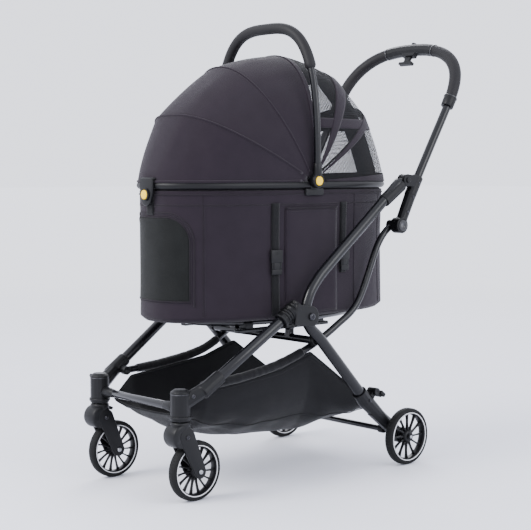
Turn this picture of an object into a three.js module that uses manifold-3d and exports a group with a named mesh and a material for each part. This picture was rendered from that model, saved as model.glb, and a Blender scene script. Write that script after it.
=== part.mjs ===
// Folding pet stroller: a lift-off soft carrier on a tubular frame with swivelling front wheels.
// Millimetres. +Z is up, the stroller's front faces -Y, and X runs across it with its left side at +X.
import * as THREE from 'three';
import { mergeVertices } from 'three/addons/utils/BufferGeometryUtils.js';
import Module from 'manifold-3d';

const wasm = await Module();
wasm.setup();

// ---------------------------------------------------------------- driving dimensions
// Side-view places are [y, z] pairs, with y = 0 on the front caster axes and z = 0 on the ground.
const GAP = 0.3;
const PIN_R = 4;
const BORE_R = PIN_R + 0.55;      // an eight-sided bore that clears the pin all the way round
const SIDE_X = 192.5;            // middle plane of the side tubes, the hinges and the handle
const LINK_X = 168.5;            // plane of the folding link beside the carrier
const LINK_LOW_X = 145;          // plane of the folding link beside the basket
const CASTER_X = 148;
const REAR_WHEEL_X = 217;
const MAIN_PIVOT = [322, 378];
const HANDLE_PIVOT = [647, 679];
const LINK_PIVOT = [629, 572];
const FRONT_LINK_PIVOT = [70, 243];
const CARRIER_AXIS = [377, 679]; // pivot line of the carry bail and the canopy hoops

const FRONT_WHEEL_R = 65;
const REAR_WHEEL_R = 67.5;
const WHEEL_WIDTH = 22;
const CASTER_TRAIL = 38;
const REAR_AXLE = [633, REAR_WHEEL_R];

const UPPER_TUBE_R = 12;
const REAR_LEG_R = 13;
const FRONT_TUBE_R = 12;
const HANDLE_TUBE_R = 10;
const GRIP_R = 14.5;
const LINK_R = 8;
const BAIL_R = 8;

const TUB_HALF_LENGTH = 342;
const TUB_HALF_WIDTH = 159;
const TUB_POWER = 2.35;
const TUB_BOTTOM = 370;
const TUB_TOP = 660;
const TUB_WALL = 8;
const TUB_FLOOR = 12;
const RIM_R = 6.5;
const RIM_Z = 671;

const CANOPY_HALF_WIDTH = 153;
const HOOP_R = 2.5;
// Canopy hoops: angle above the front horizon in degrees, reach from the pivot line,
// half width at the pivots and roundness power. Each nests inside the one before it.
const HOOPS = {
  front_bow: { angle: 4, reach: 333, halfWidth: 153, power: 2.45 },
  hoop_a: { angle: 27, reach: 318, halfWidth: 147, power: 2.4 },
  hoop_b: { angle: 57, reach: 298, halfWidth: 141, power: 2.35 },
  hoop_c: { angle: 90, reach: 287, halfWidth: 135, power: 2.3 },
  hoop_d: { angle: 121, reach: 292, halfWidth: 141, power: 2.35 },
  hoop_e: { angle: 148, reach: 306, halfWidth: 147, power: 2.4 },
};
const REAR_EDGE = { angle: 176, reach: 333, halfWidth: 153, power: 2.45 };
const PANEL_THICKNESS = 2.5;
const BAIL_HALF_WIDTH = 172;
const BAIL_REACH = 352;
const BAIL_POWER = 3.2;

const mmColor = (hex) => new THREE.Color(hex);
const FINISH = {
  frame: { color: mmColor(0x23252c), roughness: 0.42, metalness: 0.25 },
  plastic: { color: mmColor(0x202228), roughness: 0.55, metalness: 0.0 },
  gloss: { color: mmColor(0x0c0d10), roughness: 0.15, metalness: 0.2 },
  foam: { color: mmColor(0x35343a), roughness: 0.8, metalness: 0.0 },
  tyre: { color: mmColor(0x17181a), roughness: 0.8, metalness: 0.0 },
  rim: { color: mmColor(0x2a2b30), roughness: 0.45, metalness: 0.1 },
  fabric: { color: mmColor(0x3a353d), roughness: 0.95, metalness: 0.0 },
  mesh: { color: mmColor(0x26262b), roughness: 0.9, metalness: 0.0 },
  basket: { color: mmColor(0x1d1d22), roughness: 0.9, metalness: 0.0 },
  button: { color: mmColor(0xe8c42a), roughness: 0.4, metalness: 0.0 },
};

const model = new THREE.Group();

// ---------------------------------------------------------------- solids
function solid(geometry) {
  const plain = geometry.index ? geometry.clone() : geometry;
  plain.deleteAttribute('normal');
  plain.deleteAttribute('uv');
  const merged = mergeVertices(plain, 1e-4);
  return new wasm.Manifold(new wasm.Mesh({
    numProp: 3,
    vertProperties: new Float32Array(merged.attributes.position.array),
    triVerts: new Uint32Array(merged.index.array),
  }));
}

function geometryOf(body) {
  const mesh = body.getMesh();
  const geometry = new THREE.BufferGeometry();
  geometry.setAttribute('position', new THREE.BufferAttribute(new Float32Array(mesh.vertProperties), 3));
  geometry.setIndex(new THREE.BufferAttribute(new Uint32Array(mesh.triVerts), 1));
  return geometry;
}

function join(...geometries) {
  return geometries.map(solid).reduce((sum, next) => sum.add(next));
}

function cut(body, ...geometries) {
  return geometries.map(solid).reduce((rest, next) => rest.subtract(next), body);
}

function addNode(name, shape, finish, parent = model) {
  const geometry = shape.isBufferGeometry ? shape : geometryOf(shape);
  geometry.computeVertexNormals();
  const mesh = new THREE.Mesh(geometry, new THREE.MeshStandardMaterial(FINISH[finish]));
  mesh.name = name;
  parent.add(mesh);
  return mesh;
}

// Runs a maker once for each side: side is +1 on the stroller's left and -1 on its right.
function bothSides(make) {
  make(1, 'left');
  make(-1, 'right');
}

// ---------------------------------------------------------------- basic shapes
const at = (x, yz) => new THREE.Vector3(x, yz[0], yz[1]);

function circleShape(radius, sides) {
  const shape = new THREE.Shape();
  for (let i = 0; i < sides; i += 1) {
    const turn = (i / sides) * 2 * Math.PI;
    const point = [radius * Math.cos(turn), radius * Math.sin(turn)];
    if (i === 0) shape.moveTo(...point);
    else shape.lineTo(...point);
  }
  shape.closePath();
  return shape;
}

// A round tube along a smooth curve through the points.
function pipe(points, radius, steps, sides = 8, closed = false) {
  const path = new THREE.CatmullRomCurve3(points, closed, 'centripetal');
  return new THREE.ExtrudeGeometry(circleShape(radius, sides), { steps, extrudePath: path });
}

// A cylinder or cone between two points.
function rod(from, to, radius, sides = 10, endRadius = radius) {
  const length = from.distanceTo(to);
  const geometry = new THREE.CylinderGeometry(endRadius, radius, length, sides);
  geometry.translate(0, length / 2, 0);
  const turn = new THREE.Quaternion().setFromUnitVectors(
    new THREE.Vector3(0, 1, 0),
    to.clone().sub(from).normalize(),
  );
  geometry.applyQuaternion(turn);
  geometry.translate(from.x, from.y, from.z);
  return geometry;
}

// A disc whose axis runs along X, from x = inner to x = outer.
function discX(yz, radius, inner, outer, sides = 12) {
  return rod(at(inner, yz), at(outer, yz), radius, sides);
}

function box(low, high) {
  const geometry = new THREE.BoxGeometry(high[0] - low[0], high[1] - low[1], high[2] - low[2]);
  geometry.translate((low[0] + high[0]) / 2, (low[1] + high[1]) / 2, (low[2] + high[2]) / 2);
  return geometry;
}

// A flat bar of the given height in the side view, from one [y, z] to another.
function bar(from, to, height, x, thickness) {
  const [dy, dz] = [to[0] - from[0], to[1] - from[1]];
  const geometry = new THREE.BoxGeometry(thickness, Math.hypot(dy, dz), height);
  geometry.rotateX(Math.atan2(dz, dy));
  geometry.translate(x, (from[0] + to[0]) / 2, (from[1] + to[1]) / 2);
  return geometry;
}

// A point part-way from a to b, by distance from a.
function along(a, b, distance) {
  const length = Math.hypot(b[0] - a[0], b[1] - a[1]);
  return [a[0] + ((b[0] - a[0]) * distance) / length, a[1] + ((b[1] - a[1]) * distance) / length];
}

// One point of a rounded rectangle (superellipse) at a turn in radians.
function rounded(turn, halfX, halfY, power) {
  const c = Math.cos(turn);
  const s = Math.sin(turn);
  return [
    halfX * Math.sign(c) * Math.abs(c) ** (2 / power),
    halfY * Math.sign(s) * Math.abs(s) ** (2 / power),
  ];
}

function ovalShape(halfX, halfY, power, count) {
  const shape = new THREE.Shape();
  for (let i = 0; i < count; i += 1) {
    const point = rounded((i / count) * 2 * Math.PI, halfX, halfY, power);
    if (i === 0) shape.moveTo(...point);
    else shape.lineTo(...point);
  }
  shape.closePath();
  return shape;
}

// An upright prism on the carrier's oval plan.
function ovalBlock(halfX, halfY, bottom, top, count = 36) {
  const geometry = new THREE.ExtrudeGeometry(ovalShape(halfX, halfY, TUB_POWER, count), {
    depth: top - bottom,
    bevelEnabled: false,
  });
  geometry.translate(0, CARRIER_AXIS[0], bottom);
  return geometry;
}

function ovalPath(halfX, halfY, z, count) {
  const points = [];
  for (let i = 0; i < count; i += 1) {
    const [x, y] = rounded((i / count) * 2 * Math.PI, halfX, halfY, TUB_POWER);
    points.push(new THREE.Vector3(x, CARRIER_AXIS[0] + y, z));
  }
  return points;
}

// A point on an arched hoop: u runs 0..1 from the left pivot over the crest to the right pivot.
function hoopPoint(u, angle, reach, power, halfWidth) {
  const [x, out] = rounded(u * Math.PI, halfWidth, reach, power);
  const tilt = THREE.MathUtils.degToRad(angle);
  return new THREE.Vector3(
    x,
    CARRIER_AXIS[0] - out * Math.cos(tilt),
    CARRIER_AXIS[1] + out * Math.sin(tilt),
  );
}

function hoopPoints(hoop, count, halfWidth, start = 0, end = 1) {
  const points = [];
  for (let i = 0; i <= count; i += 1) {
    const u = start + ((end - start) * i) / count;
    points.push(hoopPoint(u, hoop.angle, hoop.reach, hoop.power, halfWidth));
  }
  return points;
}

// ---------------------------------------------------------------- main frame
const NECK = [
  [628, 675], [560, 620], [480, 557], [400, 494], [358, 458], [330, 420], [321, 378],
  [338, 345], [370, 322],
];
const LEG_TOP = [352, 338];
const BEAM = [362, 318];
const BEAM_REACH = SIDE_X - 20;
const FOOT_X = SIDE_X - 2;
const PEDAL_PIVOT = [545, 183];
const WHEEL_FACE = REAR_WHEEL_X + WHEEL_WIDTH / 2 + 0.6;
const LEG_END = [500, 181];
const FOOT_TOP = [494, 187];

// Upper tube, neck and rear leg in one piece, with the main pivot pin and the beam bracket.
function sideTube(side) {
  const x = side * SIDE_X;
  const neck = pipe(NECK.map((yz) => at(x, yz)), UPPER_TUBE_R, 18);
  const leg = rod(at(x, LEG_TOP), at(x, LEG_END), REAR_LEG_R, 12);
  const boss = discX(MAIN_PIVOT, 17, x - 12, x + 12);
  const pin = discX(MAIN_PIVOT, PIN_R, x - 21, x + 21, 8);
  const heads = [-1, 1].map((face) => discX(MAIN_PIVOT, 8.5, x + face * 19.3, x + face * 22, 12));
  const bracket = discX(BEAM, 10.5, side * BEAM_REACH, side * (SIDE_X - 8), 10);
  return join(neck, leg, boss, pin, ...heads, bracket);
}

// Moulded foot on the rear leg, with the stub axle that carries the wheel.
function rearFoot(side) {
  const x = side * FOOT_X;
  const sleeve = rod(at(side * SIDE_X, FOOT_TOP), at(x, [516, 164]), 17.5, 12, 18.5);
  const casing = rod(at(x, [516, 164]), at(x, [600, 92]), 18.5, 12, 13);
  const cheek = bar([540, 140], REAR_AXLE, 30, x, 13);
  const hub = discX(REAR_AXLE, 19, side * (FOOT_X - 12), side * (FOOT_X + 11), 14);
  const stub = discX(REAR_AXLE, PIN_R, x, side * (WHEEL_FACE + 1), 8);
  const cap = discX(REAR_AXLE, 7, side * WHEEL_FACE, side * (WHEEL_FACE + 3), 12);
  const pedalLug = discX(PEDAL_PIVOT, 8, x - 6, x + 6, 12);
  const pedalWeb = bar([526, 156], PEDAL_PIVOT, 13, x, 12);
  const body = join(sleeve, casing, cheek, hub, pedalLug, pedalWeb, stub, cap);
  const legHole = rod(
    at(side * SIDE_X, [480, 202]),
    at(side * SIDE_X, along(LEG_TOP, LEG_END, 216.2)),
    REAR_LEG_R + GAP,
    12,
  );
  return cut(body, legHole);
}

function rearCrossTube() {
  const reach = SIDE_X - 2 - 13;
  const place = [598, 83];
  const tube = rod(at(-reach, place), at(reach, place), 7, 12);
  const sockets = [-1, 1].map((side) => rod(at(side * (reach - 16), place), at(side * reach, place), 10, 12));
  return join(tube, ...sockets);
}

function brakePedal(side) {
  const x = side * FOOT_X;
  const pad = bar([560, 193], [578, 208], 8, x, 25);
  const ears = [-1, 1].map((face) => {
    const ear = x + face * 8.6;
    return [discX(PEDAL_PIVOT, 9, ear - 2.2, ear + 2.2, 10), bar(PEDAL_PIVOT, [563, 196], 9, ear, 4.4)];
  }).flat();
  return join(pad, ...ears);
}

function upperKnuckle(side) {
  const x = side * SIDE_X;
  const from = along(HANDLE_PIVOT, NECK[1], 18);
  const to = along(HANDLE_PIVOT, NECK[1], 88);
  const sleeve = rod(at(x, from), at(x, to), 16.5, 12, 15);
  const eye = discX(HANDLE_PIVOT, 14, x - 6, x + 6, 14);
  const web = bar(HANDLE_PIVOT, along(HANDLE_PIVOT, NECK[1], 30), 24, x, 12);
  const tubeHole = pipe(NECK.map((yz) => at(x, yz)), UPPER_TUBE_R + GAP, 18);
  const endHole = rod(at(x, NECK[0]), at(x, along(NECK[0], HANDLE_PIVOT, 1)), UPPER_TUBE_R + GAP, 12);
  const pin = discX(HANDLE_PIVOT, PIN_R, x - 14, x + 14, 8);
  const heads = [-1, 1].map((face) => discX(HANDLE_PIVOT, 7, x + face * 12.3, x + face * 15, 10));
  return cut(join(sleeve, eye, web, pin, ...heads), tubeHole, endHole);
}

// The cross beam under the carrier and the two docks that its base ring drops onto.
function carrierDock() {
  const reach = BEAM_REACH - GAP;
  const beam = rod(at(-reach, BEAM), at(reach, BEAM), 9, 12);
  const arms = [-1, 1].map((side) => bar([200, 344], [480, 344], 8, side * 96, 18));
  const posts = [-1, 1].map((side) => bar(BEAM, [BEAM[0], 344], 16, side * 96, 16));
  return join(beam, ...arms, ...posts);
}

// ---------------------------------------------------------------- folding front frame
const FRONT_TUBE_TOP = [283, 394];
const FRONT_TUBE_LOW = [52, 241];
const BRACKET_X = CASTER_X + 23;
// The front tubes lean inwards from the hinge plane to the caster brackets.
const frontTubeX = (y) => BRACKET_X + ((SIDE_X - BRACKET_X) * (y - 60)) / (FRONT_TUBE_TOP[0] - 60);
const onFrontTube = (side, distance) => {
  const place = along(FRONT_TUBE_LOW, FRONT_TUBE_TOP, distance);
  return at(side * frontTubeX(place[0]), place);
};
const FRONT_TUBE_LENGTH = Math.hypot(
  FRONT_TUBE_TOP[0] - FRONT_TUBE_LOW[0],
  FRONT_TUBE_TOP[1] - FRONT_TUBE_LOW[1],
);

function frontTube(side) {
  return rod(onFrontTube(side, 0), onFrontTube(side, FRONT_TUBE_LENGTH), FRONT_TUBE_R, 12);
}

function frontTubeHole(side) {
  return rod(onFrontTube(side, -GAP), onFrontTube(side, FRONT_TUBE_LENGTH + GAP), FRONT_TUBE_R + GAP, 12);
}

// The forked housing that carries the front tube on the main pivot, with a ribbed end.
function pivotHousing(side) {
  const x = side * SIDE_X;
  const sleeve = rod(onFrontTube(side, 236), onFrontTube(side, 292), 17, 10);
  const ribs = [268, 278, 288].map((d) => rod(onFrontTube(side, d), onFrontTube(side, d + 4), 19, 10));
  const ring = rod(onFrontTube(side, 236), onFrontTube(side, 242), 19, 10);
  const cheeks = [-1, 1].map((face) => {
    const [inner, outer] = [x + face * 12.6, x + face * 19];
    const plate = bar([276, 386], along([276, 386], MAIN_PIVOT, 40), 46, (inner + outer) / 2, 6.4);
    return [discX(MAIN_PIVOT, 24, inner, outer, 16), plate];
  }).flat();
  const body = join(sleeve, ring, ...ribs, ...cheeks);
  return cut(
    body,
    frontTubeHole(side),
    discX(MAIN_PIVOT, BORE_R, x - 30, x + 30, 8),
    discX(MAIN_PIVOT, 21, x - 12.6, x + 12.6, 12),
  );
}

// Moulded caster post: the vertical swivel barrel with the sleeve that grips the front tube.
function casterPost(side) {
  const x = side * CASTER_X;
  const barrel = rod(at(x, [0, 177]), at(x, [0, 238]), 21.5, 16);
  const cap = rod(at(x, [0, 238]), at(x, [0, 244]), 21.5, 16, 14);
  const sleeve = rod(onFrontTube(side, -12), onFrontTube(side, 44), 16.5, 12, 15.5);
  const web = rod(at(x + side * 3, [4, 214]), onFrontTube(side, 6), 17, 10, 15.5);
  const lug = discX(FRONT_LINK_PIVOT, 8, side * (LINK_LOW_X + 9.5), side * (LINK_LOW_X + 16), 10);
  const stemHole = rod(at(x, [0, 170]), at(x, [0, 215]), 6.4, 10);
  return cut(join(barrel, cap, sleeve, web, lug), frontTubeHole(side), stemHole);
}

function frontCrossbar() {
  const place = [2, 203];
  const reach = CASTER_X - 21.5 - GAP;
  const tube = rod(at(-reach, place), at(reach, place), 8, 14);
  const cones = [-1, 1].map((side) => rod(at(side * (reach - 30), place), at(side * reach, place), 8.2, 14, 13));
  const barrelGap = [-1, 1].map((side) => rod(at(side * CASTER_X, [0, 170]), at(side * CASTER_X, [0, 250]), 21.9, 16));
  return cut(join(tube, ...cones), ...barrelGap);
}

// Swivelling fork: stem, rounded head, two blades that trail down and the axle between them.
function casterFork(side) {
  const x = side * CASTER_X;
  const hub = [CASTER_TRAIL, FRONT_WHEEL_R];
  const stem = rod(at(x, [0, 150]), at(x, [0, 212]), 6, 10);
  const head = new THREE.SphereGeometry(1, 12, 6);
  head.scale(21, 34, 34);
  head.translate(x, -3, 146);
  const headBlock = cut(
    join(rod(at(x, [0, 152]), at(x, [0, 175.5]), 20, 14, 21), head),
    box([x - 40, -60, 175.5], [x + 40, 60, 230]),
  );
  const blades = [-1, 1].map((face) => {
    const plateX = x + face * 17.5;
    return [bar([-2, 146], hub, 30, plateX, 6), discX(hub, 15, plateX - 3, plateX + 3, 12)];
  }).flat();
  const tab = bar([14, 166], [31, 159], 9, x, 14);
  const wheelRoom = discX(hub, FRONT_WHEEL_R + 4, x - 14, x + 14, 22);
  const shell = cut(headBlock.add(join(stem, tab, ...blades)), wheelRoom);
  const heads = [-1, 1].map((face) => discX(hub, 7, x + face * 20, x + face * 23, 10));
  return shell.add(join(discX(hub, PIN_R, x - 21, x + 21, 8), ...heads));
}

// ---------------------------------------------------------------- wheels
function lathe(profile, segments, centre) {
  const geometry = new THREE.LatheGeometry(profile.map(([r, t]) => new THREE.Vector2(r, t)), segments);
  geometry.rotateZ(-Math.PI / 2);
  geometry.translate(...centre);
  return geometry;
}

function tyre(centre, radius) {
  const half = WHEEL_WIDTH / 2;
  const inner = radius * 0.86;
  return lathe([
    [inner, -half * 0.82], [radius - 4, -half], [radius - 0.8, -half * 0.5], [radius, 0],
    [radius - 0.8, half * 0.5], [radius - 4, half], [inner, half * 0.82], [inner, -half * 0.82],
  ], 22, centre);
}

function wheelCore(centre, radius, spokes) {
  const rimOuter = radius * 0.86 - GAP;
  const rimInner = radius * 0.72;
  const rim = lathe([
    [rimInner, -8], [rimOuter, -8.8], [rimOuter, 8.8], [rimInner, 8], [rimInner, -8],
  ], 22, centre);
  const hub = discX([centre[1], centre[2]], radius * 0.2, centre[0] - 10, centre[0] + 10, 12);
  const blades = [];
  for (let i = 0; i < spokes; i += 1) {
    const blade = new THREE.BoxGeometry(9, radius * 0.62, 3);
    blade.translate(0, radius * 0.45, 0);
    blade.rotateX((i / spokes) * 2 * Math.PI);
    blade.translate(...centre);
    blades.push(blade);
  }
  return cut(join(rim, hub, ...blades), discX([centre[1], centre[2]], 4.4, centre[0] - 20, centre[0] + 20, 8));
}

// ---------------------------------------------------------------- folding links
const LINK_ROUTE = [
  [LINK_X, 629, 572], [LINK_X, 604, 548], [LINK_X, 566, 486], [LINK_X, 530, 425], [LINK_X, 503, 388],
  [164, 450, 346], [157, 387, 309], [LINK_LOW_X, 300, 272], [LINK_LOW_X, 180, 251], [LINK_LOW_X, 70, 243],
];

function foldLink(side) {
  const points = LINK_ROUTE.map(([x, y, z]) => new THREE.Vector3(side * x, y, z));
  const tube = pipe(points, LINK_R, 20);
  const hub = discX(LINK_PIVOT, 18, side * (LINK_X - 9), side * (LINK_X + 9.5), 12);
  const eye = discX(FRONT_LINK_PIVOT, 10, side * (LINK_LOW_X - 8), side * (LINK_LOW_X + 8), 12);
  return cut(join(tube, hub, eye), discX(LINK_PIVOT, BORE_R, side * 150, side * 182, 8));
}

// ---------------------------------------------------------------- handle
const HANDLE_LOW = [672, 652];
const HANDLE_COLLAR = [806, 871];
const HANDLE_DIR = [0.522, 0.853];
const U_RISE = 162;
const handleAt = (rise) => [
  HANDLE_COLLAR[0] + (HANDLE_DIR[0] - 0.04) * rise,
  HANDLE_COLLAR[1] + (HANDLE_DIR[1] + 0.02) * rise,
];

// A point on the handle's bow: u 0..1 from the left collar over the top to the right collar.
function bowPoint(u) {
  const [x, rise] = rounded(u * Math.PI, SIDE_X, U_RISE, 2.5);
  return at(x, handleAt(rise));
}

function bowPoints(start, end, count) {
  return Array.from({ length: count + 1 }, (_, i) => bowPoint(start + ((end - start) * i) / count));
}

const MODULE_SPAN = [0.4, 0.6];

// The U-shaped tube of the handle, from the left clamp over the top to the right clamp.
function handleBow(radius) {
  const middle = along(HANDLE_LOW, HANDLE_COLLAR, 128);
  const left = [at(SIDE_X, HANDLE_LOW), at(SIDE_X, middle)];
  const right = [at(-SIDE_X, middle), at(-SIDE_X, HANDLE_LOW)];
  return pipe([...left, ...bowPoints(0, 1, 16), ...right], radius, 40);
}

// Foam grip with its collar at the lower end.
function grip(side) {
  const [start, end] = side > 0 ? [0.012, MODULE_SPAN[0] - 0.004] : [MODULE_SPAN[1] + 0.004, 0.988];
  const foam = pipe(bowPoints(start, end, 12), GRIP_R, 14);
  const x = side * SIDE_X;
  const low = along(HANDLE_COLLAR, HANDLE_LOW, 16);
  const collar = rod(at(x, low), at(x, handleAt(14)), 15, 12, 16);
  return cut(join(foam, collar), handleBow(HANDLE_TUBE_R + GAP));
}

// Release housing in the middle of the handle, with wells for its button and its trigger.
function handleModule() {
  const body = pipe(bowPoints(...MODULE_SPAN, 8), 16, 8, 10);
  const middle = bowPoint(0.5);
  const inward = new THREE.Vector3(0, -HANDLE_DIR[0], -HANDLE_DIR[1]);
  const foot = middle.clone().addScaledVector(inward, 22);
  const neck = new THREE.BoxGeometry(40, 20, 16);
  neck.rotateX(Math.atan2(HANDLE_DIR[1], HANDLE_DIR[0]));
  neck.translate(foot.x, middle.y + inward.y * 12, middle.z + inward.z * 12);
  const well = triggerShape(0.4, 0);
  const topWell = buttonShape(0.4, 10.9, 22);
  return cut(join(body, neck), handleBow(HANDLE_TUBE_R + GAP), well, topWell);
}

function inHandleFrame(geometry, outward) {
  const middle = bowPoint(0.5);
  geometry.rotateX(Math.atan2(HANDLE_DIR[1], HANDLE_DIR[0]));
  geometry.translate(middle.x, middle.y + HANDLE_DIR[0] * outward, middle.z + HANDLE_DIR[1] * outward);
  return geometry;
}

function triggerShape(clearance, shift) {
  const stem = new THREE.BoxGeometry(18 + 2 * clearance, 26, 8 + 2 * clearance);
  return inHandleFrame(stem, -25 + shift);
}

function trigger() {
  const bladeShape = new THREE.BoxGeometry(44, 7, 12);
  return join(triggerShape(0, -4), inHandleFrame(bladeShape, -42));
}

function buttonShape(clearance, low, high) {
  const cap = new THREE.CylinderGeometry(8 + clearance, 8 + clearance, high - low, 16);
  return inHandleFrame(cap, (low + high) / 2);
}

// Clamp block: holds the handle tube, turns on the upper knuckle and carries the link's pin.
function hingeBlock(side) {
  const x = side * SIDE_X;
  const clamp = rod(at(x, [666, 643]), at(x, along(HANDLE_LOW, HANDLE_COLLAR, 40)), 15, 12, 14);
  const arm = rod(at(x, [671, 652]), at(x, [636, 584]), 14.5, 12, 13.5);
  const hub = discX(LINK_PIVOT, 19, side * (LINK_X + 9.9), side * (SIDE_X + 11), 16);
  const cheeks = [-1, 1].map((face) => {
    const [inner, outer] = [x + face * 6.4, x + face * 12];
    const plate = bar(HANDLE_PIVOT, [682, 676], 28, (inner + outer) / 2, 5.6);
    return [discX(HANDLE_PIVOT, 15, inner, outer, 12), plate];
  }).flat();
  const linkPin = discX(LINK_PIVOT, PIN_R, side * (LINK_X - 10), side * SIDE_X, 8);
  const linkCap = discX(LINK_PIVOT, 7, side * (LINK_X - 12.5), side * (LINK_X - 9.4), 10);
  const body = join(clamp, arm, hub, ...cheeks, linkPin, linkCap);
  return cut(
    body,
    rod(
      at(x, along(HANDLE_LOW, HANDLE_COLLAR, -GAP)),
      at(x, along(HANDLE_LOW, HANDLE_COLLAR, 60)),
      HANDLE_TUBE_R + 1,
      14,
    ),
    discX(HANDLE_PIVOT, BORE_R, x - 20, x + 20, 8),
    discX(HANDLE_PIVOT, 19, x - 6.4, x + 6.4, 12),
  );
}

// ---------------------------------------------------------------- basket
const BASKET_HALF_WIDTH = 127;
const BASKET_WALL = 4;
// Side outline from the front top corner down, along the floor and up the rear edge.
const BASKET_SIDE = [
  [48, 226], [70, 165], [130, 118], [300, 104], [480, 104], [560, 118], [578, 146], [385, 286], [300, 256],
];

// Fabric basket slung between the legs: open at the top and along its sloping rear edge.
function basketShell() {
  const prism = (sideOutline, half) => {
    const shape = new THREE.Shape(sideOutline.map(([y, z]) => new THREE.Vector2(y, z)));
    const geometry = new THREE.ExtrudeGeometry(shape, { depth: 2 * half, bevelEnabled: false });
    geometry.applyMatrix4(new THREE.Matrix4().set(0, 0, 1, -half, 1, 0, 0, 0, 0, 1, 0, 0, 0, 0, 0, 1));
    return geometry;
  };
  const lift = 20;
  const inside = BASKET_SIDE.map(([y, z]) => [
    y + BASKET_WALL * Math.sign(300 - y) * (y < 100 || y > 550 ? 1 : 0),
    z < 150 ? z + BASKET_WALL : z,
  ]);
  inside[0][1] += lift;
  inside[6][1] += lift;
  inside[7][1] += lift;
  inside[8][1] += lift;
  return cut(join(prism(BASKET_SIDE, BASKET_HALF_WIDTH)), prism(inside, BASKET_HALF_WIDTH - BASKET_WALL));
}

// ---------------------------------------------------------------- carrier
function tub() {
  const outer = ovalBlock(TUB_HALF_WIDTH, TUB_HALF_LENGTH, TUB_BOTTOM, TUB_TOP);
  const inner = ovalBlock(
    TUB_HALF_WIDTH - TUB_WALL,
    TUB_HALF_LENGTH - TUB_WALL,
    TUB_BOTTOM + TUB_FLOOR,
    TUB_TOP + 10,
  );
  return cut(join(outer), inner);
}

function mat() {
  const inset = TUB_WALL + 3;
  return ovalBlock(
    TUB_HALF_WIDTH - inset,
    TUB_HALF_LENGTH - inset,
    TUB_BOTTOM + TUB_FLOOR + GAP,
    TUB_BOTTOM + TUB_FLOOR + 24,
    36,
  );
}

// Stiff oval rim above the tub wall, with a pivot hub on each side for the bail and the hoops.
function rimFrame() {
  const ring = pipe(ovalPath(TUB_HALF_WIDTH - 3, TUB_HALF_LENGTH - 3, RIM_Z - 3, 36), RIM_R, 32, 6, true);
  return join(ring, pivotHub(1), pivotHub(-1));
}

// Oval tube under the tub with four feet that stand on the docks.
function baseRing() {
  const z = TUB_BOTTOM - 7 - GAP;
  const ring = pipe(ovalPath(TUB_HALF_WIDTH - 42, TUB_HALF_LENGTH - 110, z, 28), 6.5, 24, 6, true);
  const feet = [-1, 1].flatMap((side) => [230, 450].map((y) => box(
    [side * 96 - 12, y - 12, 348.4],
    [side * 96 + 12, y + 12, z + 2],
  )));
  const stays = [230, 450].map((y) => box([-98, y - 5, z - 5], [98, y + 5, z + 1]));
  return join(ring, ...feet, ...stays);
}

function pivotHub(side) {
  const outer = BAIL_HALF_WIDTH - BAIL_R - 0.5;
  return discX(CARRIER_AXIS, 13.2, side * (TUB_HALF_WIDTH - 4.4), side * outer, 12);
}

function canopyHoop(hoop) {
  return pipe(hoopPoints(hoop, 16, hoop.halfWidth, 0.02, 0.98), HOOP_R, 16, 6);
}

// Sewn cover between two hoops: a thin curved sheet that stops short of the hoops on both sides.
function canopyPanel(first, second, rows, columns = 14) {
  const surface = (u, v, lift) => {
    const angle = THREE.MathUtils.lerp(first.angle, second.angle, v);
    const reach = THREE.MathUtils.lerp(first.reach, second.reach, v) + lift;
    const power = THREE.MathUtils.lerp(first.power, second.power, v);
    return hoopPoint(u, angle, reach, power, CANOPY_HALF_WIDTH + lift);
  };
  const clear = HOOP_R + 1.5;
  const margin = clear / THREE.MathUtils.degToRad(second.angle - first.angle) / 300;
  const edge = 0.045;
  const positions = [];
  const index = [];
  const layer = (columns + 1) * (rows + 1);
  [0, PANEL_THICKNESS].forEach((lift) => {
    for (let j = 0; j <= rows; j += 1) {
      for (let i = 0; i <= columns; i += 1) {
        const u = edge + ((1 - 2 * edge) * i) / columns;
        const v = margin + ((1 - 2 * margin) * j) / rows;
        positions.push(...surface(u, v, lift + clear).toArray());
      }
    }
  });
  const id = (k, i, j) => k * layer + j * (columns + 1) + i;
  const quad = (a, b, c, d) => index.push(a, b, c, a, c, d);
  for (let j = 0; j < rows; j += 1) {
    for (let i = 0; i < columns; i += 1) {
      quad(id(0, i, j), id(0, i + 1, j), id(0, i + 1, j + 1), id(0, i, j + 1));
      quad(id(1, i, j), id(1, i, j + 1), id(1, i + 1, j + 1), id(1, i + 1, j));
    }
  }
  for (let i = 0; i < columns; i += 1) {
    quad(id(0, i, 0), id(1, i, 0), id(1, i + 1, 0), id(0, i + 1, 0));
    quad(id(0, i, rows), id(0, i + 1, rows), id(1, i + 1, rows), id(1, i, rows));
  }
  for (let j = 0; j < rows; j += 1) {
    quad(id(0, 0, j), id(0, 0, j + 1), id(1, 0, j + 1), id(1, 0, j));
    quad(id(0, columns, j), id(1, columns, j), id(1, columns, j + 1), id(0, columns, j + 1));
  }
  const geometry = new THREE.BufferGeometry();
  geometry.setAttribute('position', new THREE.Float32BufferAttribute(positions, 3));
  geometry.setIndex(index);
  return geometry;
}

// ---------------------------------------------------------------- carry bail, latch and buckles
const BAIL = { angle: 90, reach: BAIL_REACH, power: BAIL_POWER };

function bailArch(radius) {
  return pipe(hoopPoints(BAIL, 24, BAIL_HALF_WIDTH), radius, 26, 6);
}

function bailTube() {
  const arch = bailArch(BAIL_R);
  const hubs = [-1, 1].map((side) => discX(
    CARRIER_AXIS,
    15,
    side * (BAIL_HALF_WIDTH - BAIL_R),
    side * (BAIL_HALF_WIDTH + BAIL_R - 1),
    16,
  ));
  const wells = [-1, 1].map((side) => discX(
    CARRIER_AXIS,
    9.4,
    side * (BAIL_HALF_WIDTH - 6),
    side * (BAIL_HALF_WIDTH + BAIL_R + 2),
    14,
  ));
  return cut(join(arch, ...hubs), ...wells);
}

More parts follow.
